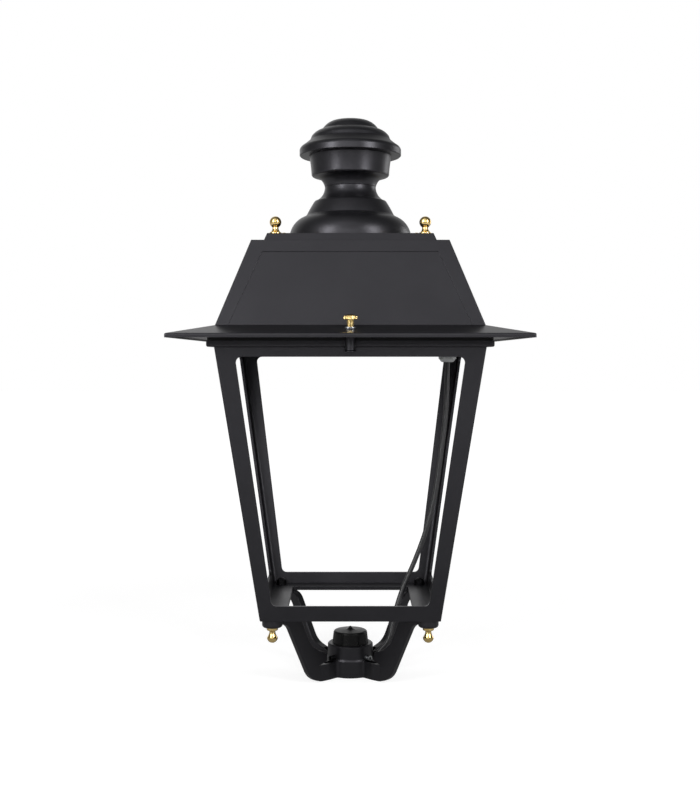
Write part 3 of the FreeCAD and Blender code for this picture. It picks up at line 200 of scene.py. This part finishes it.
def polished_brass():
    """Turned and lacquered brass: a warm mirror that the turning left faintly uneven."""
    look = bpy.context.scene.lantern_finish
    material, tree, bsdf = new_material("polished_brass", Metallic=1.0)
    place = object_place(tree)
    # soft waves about 7.5 mm apart: a wave of scale 1 is 0.314 m long
    waves = add(tree, "ShaderNodeTexWave", {"Vector": place, "Scale": 125 / 3,
                                            "Distortion": 0.4, "Detail": 1.0},
                wave_type="BANDS", bands_direction="Z").outputs["Fac"]
    cloud = noise(tree, place, size_mm=6, Detail=4.0)
    link(tree, bump(tree, waves, depth_mm=0.1, Strength=0.05), bsdf, "Normal")
    uneven_roughness(tree, bsdf, cloud, low=0.10, high=0.24, stretch=(0.3, 0.75))
    two_tones(tree, bsdf, cloud, look.brass_deep, look.brass, (0.3, 0.7))
    return material


def moulded_rubber():
    """Moulded black rubber: an even skin with little shine and a fine bloom."""
    look = bpy.context.scene.lantern_finish
    material, tree, bsdf = new_material("moulded_rubber", **{
        "IOR": 1.52, "Specular IOR Level": 0.2})
    place = object_place(tree)
    grain = noise(tree, place, size_mm=1.5, Detail=2.0)
    bloom = noise(tree, place, size_mm=14, Detail=4.0)
    link(tree, bump(tree, grain, depth_mm=0.2, Strength=0.15), bsdf, "Normal")
    uneven_roughness(tree, bsdf, bloom, low=0.26, high=0.36)
    two_tones(tree, bsdf, bloom, look.rubber, [c * 1.5 for c in look.rubber], (0.35, 0.75))
    return material


def pvc_cable_sheath():
    """Extruded black PVC: smooth and slightly waxy, with drag lines along it."""
    material, tree, bsdf = new_material("pvc_cable_sheath", IOR=1.53,
                                        **{"Base Color": (*linear("1C1C1E"), 1)})
    # drag marks run down the cable, so they are stretched along Z
    drag = noise(tree, object_place(tree, (1, 1, 0.08)), size_mm=2, Detail=2.0)
    link(tree, bump(tree, drag, depth_mm=0.2, Strength=0.12), bsdf, "Normal")
    uneven_roughness(tree, bsdf, drag, low=0.34, high=0.48)
    return material


def zinc_plated_steel():
    """Bright zinc on steel: a cool metal with a soft mottled shine."""
    material, tree, bsdf = new_material("zinc_plated_steel", Metallic=1.0)
    mottle = noise(tree, object_place(tree), size_mm=3, Detail=4.0)
    two_tones(tree, bsdf, mottle, linear("9C9EA1"), linear("B6B8BA"), (0.3, 0.7))
    uneven_roughness(tree, bsdf, mottle, low=0.22, high=0.38)
    return material


def blackened_steel():
    """Steel with a black oxide skin: nearly black, with a dull metal shine on its edges."""
    material, tree, bsdf = new_material("blackened_steel", Metallic=1.0)
    # the oxide grows in small spots
    skin = noise(tree, object_place(tree), size_mm=2, Detail=3.0)
    two_tones(tree, bsdf, skin, linear("232325"), linear("333335"), (0.3, 0.75))
    uneven_roughness(tree, bsdf, skin, low=0.34, high=0.5)
    link(tree, rounded_edges(tree, 0.4 * MM), bsdf, "Normal")
    return material


def silicone_phosphor():
    """Yellow phosphor in clear silicone on each light chip: saturated, soft and glossy."""
    material, tree, bsdf = new_material("silicone_phosphor", Roughness=0.22, IOR=1.41)
    # phosphor grains are far finer than 0.4 mm; drawn at that so that they show
    grain = noise(tree, object_place(tree), size_mm=0.4, Detail=1.0)
    two_tones(tree, bsdf, grain, linear("D9A927"), linear("EBC94E"))
    return material


def frosted_acrylic():
    """Frosted acrylic disc: white, milky, with a fine even haze."""
    material, tree, bsdf = new_material("frosted_acrylic", Roughness=0.45, IOR=1.49)
    haze = noise(tree, object_place(tree), size_mm=1.5, Detail=2.0)
    two_tones(tree, bsdf, haze, linear("DEDED9"), linear("EBEBE7"))
    link(tree, bump(tree, haze, depth_mm=0.1, Strength=0.1), bsdf, "Normal")
    return material


def white_solder_mask():
    """Circuit board under white mask: flat, slightly glossy, with copper lands under it."""
    material, tree, bsdf = new_material("white_solder_mask", Roughness=0.35, IOR=1.5)
    # the lands are about 14 mm across, and grey lines part them
    lands = add(tree, "ShaderNodeTexVoronoi", {"Vector": object_place(tree),
                                               "Scale": 1 / (14 * MM)},
                feature="DISTANCE_TO_EDGE").outputs["Distance"]
    two_tones(tree, bsdf, lands, linear("C9CCC6"), linear("E4E6E1"), (0.03, 0.06))
    return material


def bare_cast_aluminium():
    """Die-cast aluminium as it leaves the mould: grey, matte, with flow marks."""
    material, tree, bsdf = new_material("bare_cast_aluminium", Metallic=1.0)
    flow = noise(tree, object_place(tree), size_mm=18, Detail=5.0, Distortion=0.8)
    two_tones(tree, bsdf, flow, linear("9C9EA0"), linear("BFC1C3"), (0.3, 0.7))
    uneven_roughness(tree, bsdf, flow, low=0.42, high=0.58)
    return material


def moulded_plastic(name, pale, dark, roughness, grain_mm):
    """Moulded plastic with a spark-eroded grain, between two close tones."""
    material, tree, bsdf = new_material(name, Roughness=roughness, IOR=1.5)
    grain = noise(tree, object_place(tree), size_mm=grain_mm, Detail=3.0)
    two_tones(tree, bsdf, grain, linear(dark), linear(pale), (0.35, 0.65))
    link(tree, bump(tree, grain, depth_mm=0.15, Strength=0.1), bsdf, "Normal")
    return material


FINISHES = {
    "cast_paint": powder_coated_casting,
    "tray_paint": painted_steel_sheet,
    "brass": polished_brass,
    "rubber": moulded_rubber,
    "cable_sheath": pvc_cable_sheath,
    "zinc_steel": zinc_plated_steel,
    "black_steel": blackened_steel,
    "phosphor": silicone_phosphor,
    "diffuser_plastic": frosted_acrylic,
    "board_mask": white_solder_mask,
    "bare_aluminium": bare_cast_aluminium,
    # polycarbonate: light grey, evenly matte
    "driver_plastic": lambda: moulded_plastic(
        "moulded_polycarbonate", pale="D6D7D5", dark="CDCECC", roughness=0.5, grain_mm=1.2),
    # phenolic cream: smoother, with a soft gloss
    "terminal_plastic": lambda: moulded_plastic(
        "moulded_cream_plastic", pale="DDD7C6", dark="D3CDBB", roughness=0.32, grain_mm=2.0),
    # nylon 6: pale grey, slightly translucent to the eye, so a soft low contrast
    "gland_plastic": lambda: moulded_plastic(
        "moulded_grey_nylon", pale="C9CBCB", dark="BDBFC0", roughness=0.42, grain_mm=1.2),
}


def finish(slot):
    """The one material of a slot, made when it is first asked for."""
    made = bpy.data.materials.get(bpy.context.scene.get("finish_" + slot, ""))
    if made is None:
        made = FINISHES[slot]()
        bpy.context.scene["finish_" + slot] = made.name
    return made


def dress(node):
    """Give a CAD node the finish of its slot."""
    slots = {s["node"]: s["material_slot"] for s in frame["record"]["subparts"]}
    piece = NODES[node]
    if not piece.material_slots:
        piece.data.materials.append(None)
    for place in piece.material_slots:
        place.material = finish(slots[node])


# Mesh helpers


def grown(name, start, tree, inputs, body, slot, material=None):
    """Run a geometry tree on a start mesh, its inputs given by name, and keep the result
    as a plain mesh that rides on a body and has the finish of a slot."""
    source = bpy.data.objects.new(name + "_start", start)
    bpy.context.scene.collection.objects.link(source)
    modifier = source.modifiers.new("grow", "NODES")
    modifier.node_group = tree
    sockets = {item.name: item.identifier for item in tree.interface.items_tree
               if item.in_out == "INPUT"}
    for label, value in dict(inputs, Material=material or finish(slot)).items():
        modifier[sockets[label]] = value
    bpy.context.view_layer.update()
    seen = source.evaluated_get(bpy.context.evaluated_depsgraph_get())
    mesh = bpy.data.meshes.new_from_object(seen)
    mesh.name = name
    source.modifiers.remove(modifier)
    bpy.data.objects.remove(source)
    piece = bpy.data.objects.new(name, mesh)
    bpy.context.scene.collection.objects.link(piece)
    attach(piece, body)
    return piece


def new_tree(name, sockets):
    """An empty geometry tree with its inputs, and the sockets that these feed."""
    tree = bpy.data.node_groups.new(name, "GeometryNodeTree")
    tree.interface.new_socket("Geometry", in_out="INPUT", socket_type="NodeSocketGeometry")
    for label, kind in sockets:
        tree.interface.new_socket(label, in_out="INPUT", socket_type=kind)
    tree.interface.new_socket("Geometry", in_out="OUTPUT", socket_type="NodeSocketGeometry")
    return tree, add(tree, "NodeGroupInput").outputs


def end_tree(tree, geometry, given):
    """Make instances real, give them their material and close the tree."""
    real = add(tree, "GeometryNodeRealizeInstances", {"Geometry": geometry})
    painted = add(tree, "GeometryNodeSetMaterial", {"Geometry": real.outputs["Geometry"],
                                                    "Material": given["Material"]})
    add(tree, "NodeGroupOutput", {"Geometry": painted.outputs["Geometry"]})


def ridge_tree():
    """Upright ridges round an axis, as on a knurled head or a ribbed nut."""
    tree, given = new_tree("ridges_round_an_axis", [
        ("Count", "NodeSocketInt"), ("Radius", "NodeSocketFloat"), ("Width", "NodeSocketFloat"),
        ("Height", "NodeSocketFloat"), ("Centre", "NodeSocketVector"),
        ("Material", "NodeSocketMaterial")])
    ring = add(tree, "GeometryNodeMeshCircle", {"Vertices": given["Count"],
                                                "Radius": given["Radius"]})
    ridge = add(tree, "GeometryNodeMeshCylinder", {
        "Vertices": 8, "Radius": maths(tree, "MULTIPLY", given["Width"], 0.5),
        "Depth": given["Height"]})
    copies = add(tree, "GeometryNodeInstanceOnPoints", {"Points": ring.outputs["Mesh"],
                                                        "Instance": ridge.outputs["Mesh"]})
    placed = add(tree, "GeometryNodeTransform", {"Geometry": copies.outputs["Instances"],
                                                 "Translation": given["Centre"]})
    end_tree(tree, placed.outputs["Geometry"], given)
    return tree


def fastener_tree():
    """One piece at every point of a mesh, each turned by chance about its own axis."""
    tree, given = new_tree("one_at_each_point", [
        ("Piece", "NodeSocketObject"), ("Over", "NodeSocketFloat"), ("Seed", "NodeSocketInt"),
        ("Material", "NodeSocketMaterial")])
    piece = add(tree, "GeometryNodeObjectInfo", {"Object": given["Piece"]})
    chance = add(tree, "FunctionNodeRandomValue", {"Seed": given["Seed"]}, data_type="FLOAT")
    least, most = [s for s in chance.inputs if s.name in ("Min", "Max") and s.type == "VALUE"]
    least.default_value, most.default_value = 0.0, math.pi
    angle = [s for s in chance.outputs if s.type == "VALUE" and s.enabled][0]
    turn = add(tree, "ShaderNodeCombineXYZ", {"X": given["Over"], "Z": angle})
    pieces = add(tree, "GeometryNodeInstanceOnPoints", {
        "Points": given["Geometry"], "Instance": piece.outputs["Geometry"],
        "Rotation": turn.outputs["Vector"]})
    end_tree(tree, pieces.outputs["Instances"], given)
    return tree


def around(count):
    """Angles of even steps round a circle."""
    return [2 * math.pi * i / count for i in range(count)]


def lathe(name, rings, count=24):
    """Closed mesh from rings of (radius, height), or (across flats, height, "hex") for a
    six-sided ring.  A radius of 0 closes an end."""
    mesh = bpy.data.meshes.new(name)
    form = bmesh.new()
    last = None
    for ring in rings:
        if ring[0] == 0:
            now = [form.verts.new((0, 0, ring[1]))]
        else:
            now = []
            for turn in around(count):
                radius = ring[0]
                if len(ring) == 3:
                    off = (turn + math.pi / 6) % (math.pi / 3) - math.pi / 6
                    radius = ring[0] / 2 / math.cos(off)
                now.append(form.verts.new((radius * math.cos(turn), radius * math.sin(turn),
                                           ring[1])))
        if last is not None:
            for i in range(count):
                j = (i + 1) % count
                corners = [last[i % len(last)], last[j % len(last)],
                           now[j % len(now)], now[i % len(now)]]
                form.faces.new(list(dict.fromkeys(corners)))
        last = now
    bmesh.ops.recalc_face_normals(form, faces=form.faces)
    form.to_mesh(mesh)
    form.free()
    return mesh


# Pan head of an M5 screw
HEAD_RADIUS = 4.6 * MM
HEAD_HEIGHT = 3.0 * MM

# Sets how far each screw happens to be turned
TURN_SEED = 7


def screw_mesh(length):
    """Pan head machine screw with a hexagon socket; its seat is at height 0."""
    shank, flat, socket, tip = 2.4 * MM, 1.2 * MM, 3.0 * MM, 0.6 * MM
    dome = [(HEAD_RADIUS * math.cos(a), flat + (HEAD_HEIGHT - flat) * math.sin(a))
            for a in (0.15, 0.4, 0.7, 1.0)]
    crown = dome[-1][1]
    rings = [(0, -length), (shank * 0.7, -length), (shank, -length + tip), (shank, 0),
             (HEAD_RADIUS * 0.96, 0), (HEAD_RADIUS, 0.2 * MM), (HEAD_RADIUS, flat)] + dome
    rings += [(socket + 0.3 * MM, crown + 0.02 * MM, "hex"),
              (socket, crown - 0.2 * MM, "hex"), (socket, flat - 0.4 * MM, "hex"),
              (0, flat - 0.9 * MM)]
    return lathe("pan_head_screw", rings)


def at_points(name, places, mesh, body, slot, over=0.0, material=None):
    """The same mesh at each of these places, as one piece."""
    points = bpy.data.meshes.new(name + "_places")
    points.from_pydata(places, [], [])
    single = bpy.data.objects.new(name + "_single", mesh)
    bpy.context.scene.collection.objects.link(single)
    tree = bpy.data.node_groups.get("one_at_each_point") or fastener_tree()
    piece = grown(name, points, tree, {"Piece": single, "Over": over, "Seed": TURN_SEED},
                  body, slot, material)
    bpy.data.objects.remove(single)
    return piece


def ridges(name, count, radius, width, height, centre, body, slot):
    """Upright ridges round an axis, as one piece."""
    tree = bpy.data.node_groups.get("ridges_round_an_axis") or ridge_tree()
    start = bpy.data.meshes.new(name + "_start")
    return grown(name, start, tree, {"Count": count, "Radius": radius, "Width": width,
                                     "Height": height, "Centre": centre}, body, slot)


def middle(low, high, height):
    """Point on the upright axis of a box, at this height."""
    return Vector(((low[0] + high[0]) / 2, (low[1] + high[1]) / 2, height))


# Settings


class LanternStage(bpy.types.PropertyGroup):
    camera_side: FloatProperty(
        name="Camera aside", description="How far the eye is right of the middle",
        default=-0.0005, unit="LENGTH")
    camera_distance: FloatProperty(
        name="Camera distance", description="From the post's axis to the eye",
        default=1.721, unit="LENGTH")
    camera_height: FloatProperty(
        name="Camera height", description="Height of the eye above the foot of the hub",
        default=0.4752, unit="LENGTH")
    camera_dip: FloatProperty(
        name="Camera dip", description="How far the camera looks down",
        default=math.radians(2.14), subtype="ANGLE")
    lens: FloatProperty(
        name="Lens", description="Focal length in millimetres on a 36 mm sensor",
        default=51.8, unit="CAMERA")
    floor_colour: FloatVectorProperty(
        name="Floor colour", description="Colour of the plain pale floor",
        default=linear("BEBEBE"), subtype="COLOR", size=3)
    lamp_strength: FloatProperty(
        name="Lamp strength", description="Share of the full strength of the lamps",
        default=1.0, min=0.0, max=2.0, subtype="FACTOR")


class LanternFinish(bpy.types.PropertyGroup):
    paint: FloatVectorProperty(
        name="Paint", description="Black powder coat", default=linear("0E0E10"),
        subtype="COLOR", size=3)
    paint_dull: FloatVectorProperty(
        name="Paint, dull", description="Powder coat where it is thicker and duller",
        default=linear("131315"), subtype="COLOR", size=3)
    brass: FloatVectorProperty(
        name="Brass", description="Polished brass", default=linear("EFD69A"),
        subtype="COLOR", size=3)
    brass_deep: FloatVectorProperty(
        name="Brass, deep", description="Brass in its darker patches",
        default=linear("DAB970"), subtype="COLOR", size=3)
    rubber: FloatVectorProperty(
        name="Rubber", description="Black moulded rubber", default=linear("09090A"),
        subtype="COLOR", size=3)


class LanternSizes(bpy.types.PropertyGroup):
    cable_thickness: FloatProperty(
        name="Cable thickness", description="Outside diameter of the cable",
        default=7.5 * MM, unit="LENGTH")
    knurl_teeth: IntProperty(
        name="Knurl teeth", description="Ridges round the head of the thumb screw",
        default=40, min=12, max=60)
    knurl_width: FloatProperty(
        name="Knurl width", description="Width of one ridge of the knurl",
        default=0.9 * MM, unit="LENGTH")
    gland_ribs: IntProperty(
        name="Gland ribs", description="Ribs round the dome of the gland nut",
        default=18, min=6, max=36)


# Studio

SENSOR_MM = 36
WHITE = (1, 1, 1, 1)

# The floor's sides lie this far out in metres, and it stays just clear of the hub's foot
FLOOR_REACH = 14.0
FLOOR_DROP = 0.5 * MM

# Brightness of the room as gloss sees it, at places from behind the camera (0) to the far
# end (1): a dark end, a bright ceiling before it, dim sides, and the pale backdrop
ROOM_GLOSS = ((0.0, 0.1), (0.07, 0.68), (0.2, 0.86), (0.27, 0.64), (0.36, 0.36),
              (0.5, 0.22), (0.7, 0.14), (0.95, 1.0))

# Name, place, width and height in metres, and watts of each lamp; all face LAMP_TARGET
LAMPS = (
    ("key_front", (-0.15, -2.3, 1.2), 1.6, 0.8, 9),
    ("strip_left", (-1.42, -1.60, 1.35), 0.6, 1.4, 27),
    ("strip_right", (1.48, -1.55, 1.35), 0.55, 1.4, 29),
    ("rim_right", (2.1, 1.7, 1.0), 0.8, 1.3, 9),
    ("above", (-0.5, -1.7, 2.6), 1.8, 1.2, 3),
)
LAMP_TARGET = Vector((0, 0, 0.5))


def direct_ray(tree, path):
    """1 for rays from the camera and through glass."""
    return maths(tree, "MAXIMUM", path["Is Camera Ray"], path["Is Transmission Ray"])


def seen_ray(tree, gloss=1.0):
    """1 for rays from the camera and through glass, and this share for gloss."""
    path = add(tree, "ShaderNodeLightPath").outputs
    share = maths(tree, "MULTIPLY", path["Is Glossy Ray"], gloss)
    return maths(tree, "MAXIMUM", direct_ray(tree, path), share)


class LANTERN_OT_stage(bpy.types.Operator):
    """Floor, background, lamps and camera"""
    bl_idname = "lantern.stage"
    bl_label = "Stage"

    def execute(self, context):
        scene = context.scene
        settings = scene.lantern_stage
        scene.view_settings.view_transform = "Standard"
        self.make_floor(scene, settings)
        self.make_world(scene)
        self.make_lamps(scene, settings)
        self.make_camera(scene, settings)
        return {"FINISHED"}

    def make_floor(self, scene, settings):
        """Pale floor just under the lantern's foot, with painted shade round that foot."""
        mesh = bpy.data.meshes.new("floor")
        far = FLOOR_REACH
        mesh.from_pydata([(-far, -far, 0), (far, -far, 0), (far, far, 0), (-far, far, 0)], [],
                         [(0, 1, 2, 3)])
        floor = bpy.data.objects.new("floor", mesh)
        scene.collection.objects.link(floor)
        floor.location.z = -FLOOR_DROP
        material = bpy.data.materials.new("pale_studio_floor")
        tree = empty_tree(material)
        away = add(tree, "ShaderNodeVectorMath", {0: object_place(tree)},
                   operation="LENGTH").outputs["Value"]
        # painted shade: the floor's colour, as every ray but the eye's sees it, is darker near
        # the foot of the lantern and lighter far from it
        near, beyond = ((*[c * share for c in settings.floor_colour], 1)
                        for share in (0.5, 1.75))
        painted_floor_shade = add(tree, "ShaderNodeMixRGB", {
            "Fac": span(tree, away, (0.3, 2.2), (0.0, 1.0)), "Color1": near, "Color2": beyond})
        matte = add(tree, "ShaderNodeBsdfDiffuse", {"Color": painted_floor_shade.outputs["Color"]})
        # the eye sees it nearly white, with a grey share that takes the shadows; its glow is
        # dimmer near the foot of the lantern, a painted shade
        grey = add(tree, "ShaderNodeBsdfDiffuse", {"Color": (0.34, 0.34, 0.34, 1)})
        glow = add(tree, "ShaderNodeEmission", {
            "Color": WHITE, "Strength": span(tree, away, (0.7, 2.2), (0.8, 1.0))})
        bright = add(tree, "ShaderNodeAddShader", {0: grey.outputs["BSDF"],
                                                   1: glow.outputs["Emission"]})
        pick = add(tree, "ShaderNodeMixShader", {"Fac": seen_ray(tree, gloss=0.15),
                                                 1: matte.outputs["BSDF"],
                                                 2: bright.outputs["Shader"]})
        add(tree, "ShaderNodeOutputMaterial", {"Surface": pick.outputs["Shader"]})
        mesh.materials.append(material)

    def make_world(self, scene):
        """White to the eye, a shaded room to gloss, and a soft light to all else."""
        scene.world = bpy.data.worlds.new("studio")
        tree = empty_tree(scene.world)
        place = add(tree, "ShaderNodeTexCoord").outputs["Generated"]
        axis = add(tree, "ShaderNodeSeparateXYZ", {"Vector": place}).outputs
        whole = (-1.0, 1.0)
        gloss = add(tree, "ShaderNodeValToRGB", {"Fac": span(tree, axis["Y"], whole,
                                                             (0.0, 1.0))})
        stops = gloss.color_ramp.elements
        stops[-1].position = ROOM_GLOSS[-1][0]
        for stop, level in ROOM_GLOSS[1:-1]:
            stops.new(stop)
        for stop, (_, level) in zip(stops, ROOM_GLOSS):
            stop.color = (level, level, level, 1)
        # the room is a little darker on the right of the camera
        aside = span(tree, axis["X"], (-0.15, 0.35), (1.0, 0.5))
        dimmed = maths(tree, "MULTIPLY", gloss.outputs["Color"], aside)
        # and its walls are pale near the floor
        skirt = maths(tree, "MAXIMUM", dimmed, span(tree, axis["Z"], (0.0, 0.13), (0.4, 0.0)))
        path = add(tree, "ShaderNodeLightPath").outputs
        level = maths(tree, "MAXIMUM", skirt, direct_ray(tree, path))
        white = add(tree, "ShaderNodeBackground", {"Color": WHITE, "Strength": level})
        # the room lights the lantern from behind more than from the camera's side
        behind = span(tree, axis["Y"], whole, (0.15, 0.40))
        room = add(tree, "ShaderNodeBackground", {"Color": WHITE, "Strength": behind})
        pick = add(tree, "ShaderNodeMixShader", {"Fac": seen_ray(tree),
                                                 1: room.outputs["Background"],
                                                 2: white.outputs["Background"]})
        add(tree, "ShaderNodeOutputWorld", {"Surface": pick.outputs["Shader"]})

    def make_lamps(self, scene, settings):
        for name, place, wide, high, watts in LAMPS:
            data = bpy.data.lights.new(name, "AREA")
            data.shape = "RECTANGLE"
            data.size = wide
            data.size_y = high
            data.energy = watts * settings.lamp_strength
            lamp = bpy.data.objects.new(name, data)
            scene.collection.objects.link(lamp)
            lamp.location = place
            aim = LAMP_TARGET - Vector(place)
            lamp.rotation_euler = aim.to_track_quat("-Z", "Y").to_euler()

    def make_camera(self, scene, settings):
        data = bpy.data.cameras.new("camera")
        data.lens = settings.lens
        data.sensor_width = SENSOR_MM
        camera = bpy.data.objects.new("camera", data)
        scene.collection.objects.link(camera)
        camera.location = (settings.camera_side, -settings.camera_distance,
                           settings.camera_height)
        camera.rotation_euler = (math.pi / 2 - settings.camera_dip, 0, 0)
        scene.camera = camera


# Pieces


class LANTERN_OT_castings(bpy.types.Operator):
    """Black powder coat on the yoke, the frame, the hood and the chimney"""
    bl_idname = "lantern.castings"
    bl_label = "Castings"

    def execute(self, context):
        for node in ("base_yoke", "lantern_frame", "roof_hood", "roof_cap", "chimney_bell",
                     "chimney_drum", "chimney_cap"):
            dress(node)
        return {"FINISHED"}


class LANTERN_OT_brass(bpy.types.Operator):
    """Brass finials and the thumb screw with its knurl"""
    bl_idname = "lantern.brass"
    bl_label = "Brass"

    def execute(self, context):
        for node in NODES:
            if "finial_" in node and node != "finial_nuts":
                dress(node)
        dress("thumb_screw")
        low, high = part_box("thumb_screw")
        head = (high[0] - low[0]) / 2
        sizes = context.scene.lantern_sizes
        # the knurl runs between the chamfers of the head, whose crown stands 2 mm proud
        ridges("thumb_screw_knurl", sizes.knurl_teeth,
               radius=head - sizes.knurl_width * 0.2, width=sizes.knurl_width,
               height=4.0 * MM, centre=middle(low, high, high[2] - 4.85 * MM),
               body=SCREW, slot="brass")
        return {"FINISHED"}


class LANTERN_OT_fasteners(bpy.types.Operator):
    """Nuts, washers, screws, rod and hinge pins"""
    bl_idname = "lantern.fasteners"
    bl_label = "Fasteners"

    def execute(self, context):
        for node in ("set_screw_front_right", "socket_set_screws", "corner_washers",
                     "corner_nuts", "chimney_tie_rod", "tie_rod_nut", "tie_rod_washer",
                     "finial_nuts", "screw_seat_washer", "screw_clip", "hinge_pin_left",
                     "hinge_pin_right"):
            dress(node)
        self.pan_heads("tray_screws", LANTERN, heads_down=False)
        self.pan_heads("cap_screws", HOOD, heads_down=True)
        return {"FINISHED"}

    def pan_heads(self, node, body, heads_down):
        """Screws with hexagon sockets in place of a node's four plain ones."""
        low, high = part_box(node)
        length = high[2] - low[2] - HEAD_HEIGHT
        seat = low[2] + HEAD_HEIGHT if heads_down else high[2] - HEAD_HEIGHT
        places = [(x, y, seat) for x in (low[0] + HEAD_RADIUS, high[0] - HEAD_RADIUS)
                  for y in (low[1] + HEAD_RADIUS, high[1] - HEAD_RADIUS)]
        piece = at_points("pan_head_" + node, places, screw_mesh(length), body, "zinc_steel",
                          over=math.pi if heads_down else 0.0)
        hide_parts(node)


class LANTERN_OT_rubber(bpy.types.Operator):
    """Plug in the hub, bush of the cable and gasket of the hood"""
    bl_idname = "lantern.rubber"
    bl_label = "Rubber"

    def execute(self, context):
        for node in ("top_plug", "cable_entry_bush", "hood_gasket"):
            dress(node)
        return {"FINISHED"}


class LANTERN_OT_light(bpy.types.Operator):
    """Gear tray with the light, its driver and the terminal block"""
    bl_idname = "lantern.light"
    bl_label = "Light"

    def execute(self, context):
        for node in ("gear_tray", "light_diffuser", "light_board", "heat_sink", "light_driver",
                     "terminal_block", "gland_body", "gland_nut", "gland_locknut"):
            dress(node)
        self.light_chips()
        self.terminal_screws()
        low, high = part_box("gland_nut")
        across = high[1] - low[1]
        # the ribs have their axes just under the skin of the dome, so about half shows
        ridges("gland_nut_ribs", context.scene.lantern_sizes.gland_ribs,
               radius=across * 0.49, width=1.2 * MM, height=3.6 * MM,
               centre=middle(low, high, low[2] + 5.6 * MM),
               body=LANTERN, slot="gland_plastic")
        return {"FINISHED"}

    def light_chips(self):
        """Yellow domes on the chips of the board, in two rings."""
        low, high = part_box("light_board")
        board = (high[0] - low[0]) / 2
        places = [(board * share * math.cos(turn), board * share * math.sin(turn), low[2])
                  for share, count in ((0.42, 6), (0.78, 12)) for turn in around(count)]
        dome = lathe("phosphor_dome", [(0, 0.1 * MM), (1.35 * MM, 0.1 * MM), (1.35 * MM, 0),
                                       (1.15 * MM, -0.25 * MM), (0.7 * MM, -0.4 * MM),
                                       (0, -0.45 * MM)], count=16)
        at_points("light_chip_domes", places, dome, LANTERN, "board_mask",
                  material=finish("phosphor"))

    def terminal_screws(self):
        """Screw heads down in the wells of the terminal block."""
        low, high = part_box("terminal_block")
        wells, depth = 3, 6.0 * MM
        wide = high[1] - low[1]
        places = [((low[0] + high[0]) / 2, low[1] + wide * (i + 0.5) / wells, high[2] - depth)
                  for i in range(wells)]
        head = lathe("clamp_screw", [
            (0, -0.1 * MM), (2.3 * MM, -0.1 * MM), (2.4 * MM, 1.6 * MM), (2.2 * MM, 1.8 * MM),
            (2.6 * MM, 1.8 * MM, "hex"), (2.4 * MM, 0.9 * MM, "hex"), (0, 0.8 * MM)])
        at_points("terminal_clamp_screws", places, head, LANTERN, "zinc_steel")


# Route of the cable in metres: from the gland down to the bush in the hub
CABLE_ROUTE = [
    (0.1500, 0.0600, 0.4673),
    (0.1494, 0.0582, 0.4300),
    (0.1468, 0.0546, 0.3800),
    (0.1408, 0.0500, 0.3360),
    (0.1348, 0.0460, 0.2900),
    (0.1266, 0.0416, 0.2450),
    (0.1134, 0.0374, 0.2000),
    (0.0978, 0.0334, 0.1600),
    (0.0808, 0.0284, 0.1240),
    (0.0698, 0.0206, 0.0930),
    (0.0634, 0.0098, 0.0690),
    (0.0598, 0.0028, 0.0515),
    (0.05153, 0.0, 0.03873),
    (0.04112, 0.0, 0.02936),
]


class LANTERN_OT_cable(bpy.types.Operator):
    """Cable that hangs from the gland and goes into the hub"""
    bl_idname = "lantern.cable"
    bl_label = "Cable"

    def execute(self, context):
        thick = context.scene.lantern_sizes.cable_thickness
        curve = bpy.data.curves.new("cable", "CURVE")
        curve.dimensions = "3D"
        curve.resolution_u = 12
        curve.bevel_depth = thick / 2
        curve.bevel_resolution = 5
        curve.use_fill_caps = True
        spline = curve.splines.new("NURBS")
        spline.points.add(len(CABLE_ROUTE) - 1)
        for point, place in zip(spline.points, CABLE_ROUTE):
            point.co = (*place, 1)
        spline.order_u = 3
        spline.use_endpoint_u = True
        cable = bpy.data.objects.new("cable", curve)
        context.scene.collection.objects.link(cable)
        curve.materials.append(finish("cable_sheath"))
        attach(cable, LANTERN)
        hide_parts("power_cable")
        return {"FINISHED"}


class LANTERN_PT_panel(bpy.types.Panel):
    """Every piece of the lantern and its studio"""
    bl_label = "Street lantern"
    bl_space_type = "VIEW_3D"
    bl_region_type = "UI"
    bl_category = "Lantern"

    def draw(self, context):
        column = self.layout.column()
        for operator in OPERATORS:
            column.operator(operator.bl_idname)
        for group in ("lantern_finish", "lantern_sizes", "lantern_stage"):
            settings = getattr(context.scene, group)
            box = column.box()
            for name in settings.__annotations__:
                box.prop(settings, name)


OPERATORS = [LANTERN_OT_castings, LANTERN_OT_brass, LANTERN_OT_fasteners, LANTERN_OT_rubber,
             LANTERN_OT_light, LANTERN_OT_cable, LANTERN_OT_stage]
GROUPS = {"lantern_stage": LanternStage, "lantern_finish": LanternFinish,
          "lantern_sizes": LanternSizes}


def register():
    for group in GROUPS.values():
        bpy.utils.register_class(group)
    for name, group in GROUPS.items():
        setattr(bpy.types.Scene, name, PointerProperty(type=group))
    for operator in OPERATORS:
        bpy.utils.register_class(operator)
    bpy.utils.register_class(LANTERN_PT_panel)


def unregister():
    bpy.utils.unregister_class(LANTERN_PT_panel)
    for operator in reversed(OPERATORS):
        bpy.utils.unregister_class(operator)
    for name, group in GROUPS.items():
        delattr(bpy.types.Scene, name)
        bpy.utils.unregister_class(group)


def main():
    register()
    for operator in OPERATORS:
        group, name = operator.bl_idname.split(".")
        getattr(getattr(bpy.ops, group), name)()
    bpy.context.view_layer.update()


if __name__ == "__main__":
    main()
